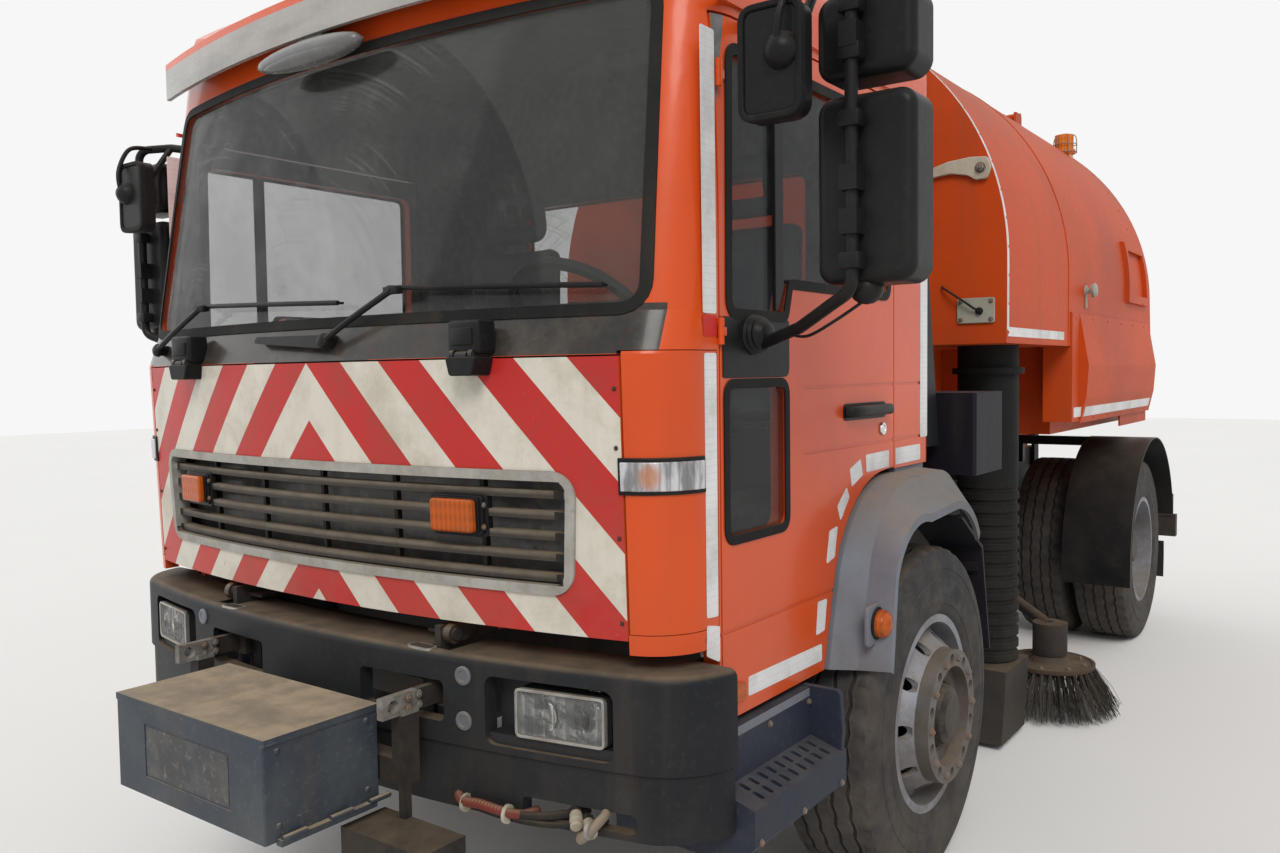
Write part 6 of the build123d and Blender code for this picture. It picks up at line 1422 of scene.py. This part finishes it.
axis, outside = hopperForm["axis"], hopperForm["outside"]
for side, sign in sides.items():
    sideTape("hopperTape." + side, "hopper_shell", sign, (1019, 1856), (1686, 1722))
    sideTape("skirtTape." + side, "hopper_skirts", sign, (2000, 3700), (1330, 1376))
    inner, outer = [], []
    for k in range(hopperForm["rimSteps"] + 1):        # a thin strip follows the barrel's front rim
        turn = math.radians(-14 + 104 * k / hopperForm["rimSteps"])
        away = Vector((sign * math.cos(turn), 0, math.sin(turn)))
        row = [touch("hopper_shell", Vector((0, back, axis)) + away * outside, -away)
               for back in hopperForm["rim"]]
        if all(row) and min((p - Vector((0, p.y, axis))).length for p in row) > hopperForm["rimLeast"]:
            inner.append([p + away * 0.2 for p in row])
            outer.append([p + away * 1.5 for p in row])
    if len(inner) > 2:
        Shape().between(inner, outer).finish("rimTape." + side, "hopper", "tape", sharp=70)
    starts = [(sign * outside, back, z) for back in range(2040, 3740, 310) for z in (1792, 1318)]
    marks = marksOn("hopper_skirts", starts, (-sign, 0, 0), (sign, 0, 0.05))
    scatter("skirtScrews." + side, marks, rivet, "hopper", "hopperPaint")
    starts = [(sign * outside, back, z) for z in range(1700, 2900, 110) for back in (1022, 3520)]
    marks = marksOn("hopper_shell", starts, (-sign, 0, 0))
    marks = [((x, back, z), (x, 0, z - axis)) for (x, back, z), _ in marks if abs(x) > 400]
    scatter("hopperRivets." + side, marks, rivet, "hopper", "hopperPaint")

leverForm = {"outline": [(762, 2292), (800, 2318), (880, 2326), (950, 2312), (978, 2292), (1026, 2292),
                         (1040, 2336), (1026, 2376), (960, 2382), (870, 2374), (792, 2352), (748, 2312)],
             "radii": [14, 30, 60, 40, 16, 18, 30, 18, 50, 60, 30, 14]}
level = levelOf("hopper_shell", 905, 2330, 1000)
lever = Shape().slab(rounded(leverForm["outline"], leverForm["radii"], 4), 1, 17, facing(level))
lever.lathe([(0, 0), (0, 33), (12, 33), (16, 27), (16, 0)], (775, level - 1, 2312), (0, -1, 0), 28)
lever.finish("hopperLever", "hopper", "creamLever", sharp=45, edge=3)
scatter("leverBolt", [((1000, level - 17, 2336), (0, -1, 0))], bolt, "hopper", "nutSteel", size=1.5)

level = levelOf("hopper_shell", 980, 1790, 1004)
plate = Shape().slab(oblong((908, 1054), (1740, 1838), 10, 4), 0.3, 9, facing(level))
plate.finish("hopperPlate", "hopper", "palePlate", edge=2)
marks = [((x, level - 9, z), (0, -1, 0)) for x in (922, 1040) for z in (1754, 1824)]
scatter("hopperPlateScrews", marks, smallBolt, "hopper", "nutSteel")
cable = [(996, -6, 1786), (980, -24, 1796), (940, -30, 1826), (890, -26, 1860), (852, -12, 1884),
         (846, 3, 1890)]
shape = Shape().tube([(x, level + ahead, z) for x, ahead, z in cable], 4.5, 10, 8)
shape.lathe([(0, 0), (0, 15), (10, 14), (14, 8), (14, 0)], (996, level - 8, 1786), (0, -1, 0), 20)
shape.finish("plateCable", "hopper", "rubber")
hit = touch("hopper_shell", (outside, 2244, 1928), (-1, 0, 0))
if hit:
    profile = [(0, 0), (0, 26), (8, 26), (10, 14), (26, 14), (30, 32), (44, 35), (52, 27), (55, 0)]
    knob = Shape().lathe(profile, hit, (1, 0, 0), 24)
    knob.block((hit.x, hit.y - 11, hit.z - 84), (hit.x + 9, hit.y + 11, hit.z), 3)
    knob.finish("hopperKnob", "hopper", "palePlate", sharp=40)

low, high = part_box("beacon")
centre = Vector(((low.x + high.x) * 500, (low.y + high.y) * 500 + frontAxle, 0))
bottom, top = low.z * 1000, high.z * 1000
radius = (high.x - low.x) * 500 + 7
rise = [(radius, bottom + 26), (radius, top - 40), (radius * 0.82, top - 6), (8, top + 8)]
guard = Shape()
for a in turns(6):
    guard.tube([centre + Vector((math.cos(a) * out, math.sin(a) * out, z)) for out, z in rise], 2.6, 8, 7)
for z in (bottom + 30, (bottom + top) / 2 + 10):
    ring = [centre + Vector((math.cos(a) * radius, math.sin(a) * radius, z)) for a in turns(20)]
    guard.tube(ring, 2.6, 8, 2, closed=True)
guard.finish("beaconGuard", "hopper", "nutSteel", sharp=60)
print("hopper details made")


# rear: lamps, flaps, blank plate, tail door screws

rearLamps = {"rearStop": ((836, 930), "redLens"), "rearTurn": ((936, 1030), "amberLens"),
             "rearClear": ((1036, 1144), "clearLens")}
for side, sign in sides.items():
    for name, (across, finishName) in rearLamps.items():
        level = min(levelOf("rear_bumper", sign * sum(across) / 2, 670, 4340, -1), 4340)
        lens = Shape().slab(oblong(across, (616, 724), 10, 4), -1, 9, facing(level, 1, sign))
        lens.finish(name + "." + side, "chassis", finishName, edge=2.5)
    rows = [[(sign * (560 + 590 * j / 8), 4068 + 6 * math.sin(k * 0.5) + 3 * (j % 2), 470 - 28 * k)
             for j in range(9)] for k in range(9)]
    Shape().skin(rows, 6, (0, 1, 0)).finish("mudFlap." + side, "chassis", "rubber")
level = min(levelOf("rear_bumper", 0, 545, 4340, -1), 4345)
blank = Shape().slab(oblong((-260, 260), (490, 602), 8, 4), 0.2, 3, facing(level, 1))
blank.finish("blankPlate", "chassis", "visorWhite", edge=0.8)
starts = [(x, 4800, z) for x in range(-800, 801, 160) for z in (1330, 2860)]
marks = marksOn("tail_door", starts, (0, -1, 0), (0, 1, 0.1))
scatter("tailScrews", marks, rivet, "tail", "hopperPaint", size=1.4)
print("rear details made")


# seats: cushions swelled by cloth pressure, with sewn channels pressed in after

seatForm = {"x": 520.0, "half": 246.0, "cushion": ((-560, -60), (1400, 1575)),
            "back": ((-62, 52), (1585, 2072)), "headBack": 7.5, "headHalf": 112.0, "voxel": 0.014,
            "swell": 0.016, "shrink": 14.0, "corner": 34, "headLine": [(-1, 2120), (-0.99, 2182),
                                                                       (-0.86, 2244), (-0.4, 2251),
                                                                       (0.4, 2251), (0.86, 2244),
                         (0.99, 2182), (1, 2120), (0.55, 2112), (-0.55, 2112)],
            "channels": 120, "press": 0.009, "pressWidth": 16, "pressure": 4, "frames": 20, "clear": 0.001}


def settle(piece):        # every modifier becomes part of the mesh
    graph = bpy.context.evaluated_depsgraph_get()
    graph.update()
    data = bpy.data.meshes.new_from_object(piece.evaluated_get(graph))
    piece.modifiers.clear()
    piece.data = data
    for face in data.polygons:
        face.use_smooth = True


def cushion(name, x, back, up):
    low, high = zip(x, back, up)
    inset = seatForm["shrink"]
    shape = Shape().block([v + inset for v in low], [v - inset for v in high], seatForm["corner"], steps=4)
    bmesh.ops.subdivide_edges(shape.mesh, edges=shape.mesh.edges[:], cuts=2, use_grid_fill=True)
    pad = shape.finish(name, "cab", "seatFabric", sharp=80)
    remesh = pad.modifiers.new("remesh", "REMESH")
    remesh.mode, remesh.voxel_size, remesh.use_smooth_shade = "VOXEL", seatForm["voxel"], True
    settle(pad)
    before = [v.co.copy() for v in pad.data.vertices]
    cloth = pad.modifiers.new("cloth", "CLOTH")
    cloth.settings.use_pressure = True
    cloth.settings.uniform_pressure_force = seatForm["pressure"]
    cloth.settings.quality = 5
    cloth.settings.effector_weights.gravity = 0
    cloth.point_cache.frame_start, cloth.point_cache.frame_end = 1, seatForm["frames"]
    for step in range(1, seatForm["frames"] + 1):
        bpy.context.scene.frame_set(step)
    settle(pad)
    bpy.context.scene.frame_set(1)
    lowest, highest = spot(*low), spot(*high)
    for v, start in zip(pad.data.vertices, before):        # it swells only so far and stays in its room
        move = v.co - start
        if move.length > seatForm["swell"]:
            v.co = start + move.normalized() * seatForm["swell"]
    clear = seatForm["clear"]
    for v in pad.data.vertices:
        v.co = Vector([min(max(v.co[i], lowest[i] + clear), highest[i] - clear) for i in range(3)])
    return pad


def channels(pad, axis, way, middle):        # two sewn lines pressed into the face that points this way
    for v in pad.data.vertices:
        for line in (middle - seatForm["channels"], middle + seatForm["channels"]):
            away = abs(v.co.x * 1000 - line) / seatForm["pressWidth"]
            if away < 1 and v.normal[axis] * way > 0.3:
                v.co[axis] -= way * seatForm["press"] * (1 - away * away) ** 2


for side, sign in sides.items():
    middle = sign * seatForm["x"]
    x = (middle - seatForm["half"], middle + seatForm["half"])
    base = cushion("seatCushion." + side, x, *seatForm["cushion"])
    channels(base, 2, 1, middle)
    rest = cushion("seatBack." + side, x, *seatForm["back"])
    channels(rest, 1, -1, middle)
    ring = [(middle + a * seatForm["headHalf"], seatForm["headBack"], z) for a, z in seatForm["headLine"]]
    head = Shape().tube(ring, 34, 14, closed=True).finish("headRest." + side, "cab", "seatFabric", sharp=80)
    for pad in (base, rest, head):
        smooth = pad.modifiers.new("smooth", "SUBSURF")
        smooth.levels = smooth.render_levels = 1
    plinth = Shape().block((middle - 190, -500, 1200), (middle + 190, -100, 1404), 18)
    plinth.block((middle - 215, -520, 1385), (middle + 215, -80, 1408), 8)
    stand = plinth.finish("seatBase." + side, "cab", "blackPlastic")
    if side == "left":
        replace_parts(stand, "seats")
print("seats made")


# floor and background

def makeFloor():
    half = studio["floorSize"] / 2
    data = bpy.data.meshes.new("floor")
    data.from_pydata([(-half, -half, 0), (half, -half, 0), (half, half, 0), (-half, half, 0)], [],
                     [(0, 1, 2, 3)])
    floor = bpy.data.objects.new("floor", data)
    bpy.context.scene.collection.objects.link(floor)
    finish = Finish("paleFloor")
    clouds = finish.noise(0.5, 5)
    colour = finish.mix(studio["floor"], tuple(part * 0.94 for part in studio["floor"]), clouds)
    data.materials.append(finish.surface(colour, 0.9 - clouds * 0.1, {}))


def makeSky():        # the backdrop is what the camera, mirrors and panes see, the sky only lights
    world = bpy.data.worlds.new("softSky")
    bpy.context.scene.world = world
    world.use_nodes = True
    tree = world.node_tree
    tree.nodes.clear()

    def node(kind, settings=None, values=None):
        return addNode(tree, kind, settings, values).outputs

    adding = {"operation": "ADD", "use_clamp": True}
    rays = node("ShaderNodeLightPath")
    direct = node("ShaderNodeMath", adding, {0: rays["Is Camera Ray"], 1: rays["Is Glossy Ray"]})
    seen = node("ShaderNodeMath", adding, {0: direct[0], 1: rays["Is Transmission Ray"]})
    light = node("ShaderNodeBackground", None, {"Color": studio["skyTint"], "Strength": studio["sky"]})
    shown = node("ShaderNodeBackground", None, {"Color": studio["backdrop"]})
    mixed = node("ShaderNodeMixShader", None, {0: seen[0], 1: light[0], 2: shown[0]})
    node("ShaderNodeOutputWorld", None, {0: mixed[0]})


makeFloor()
makeSky()
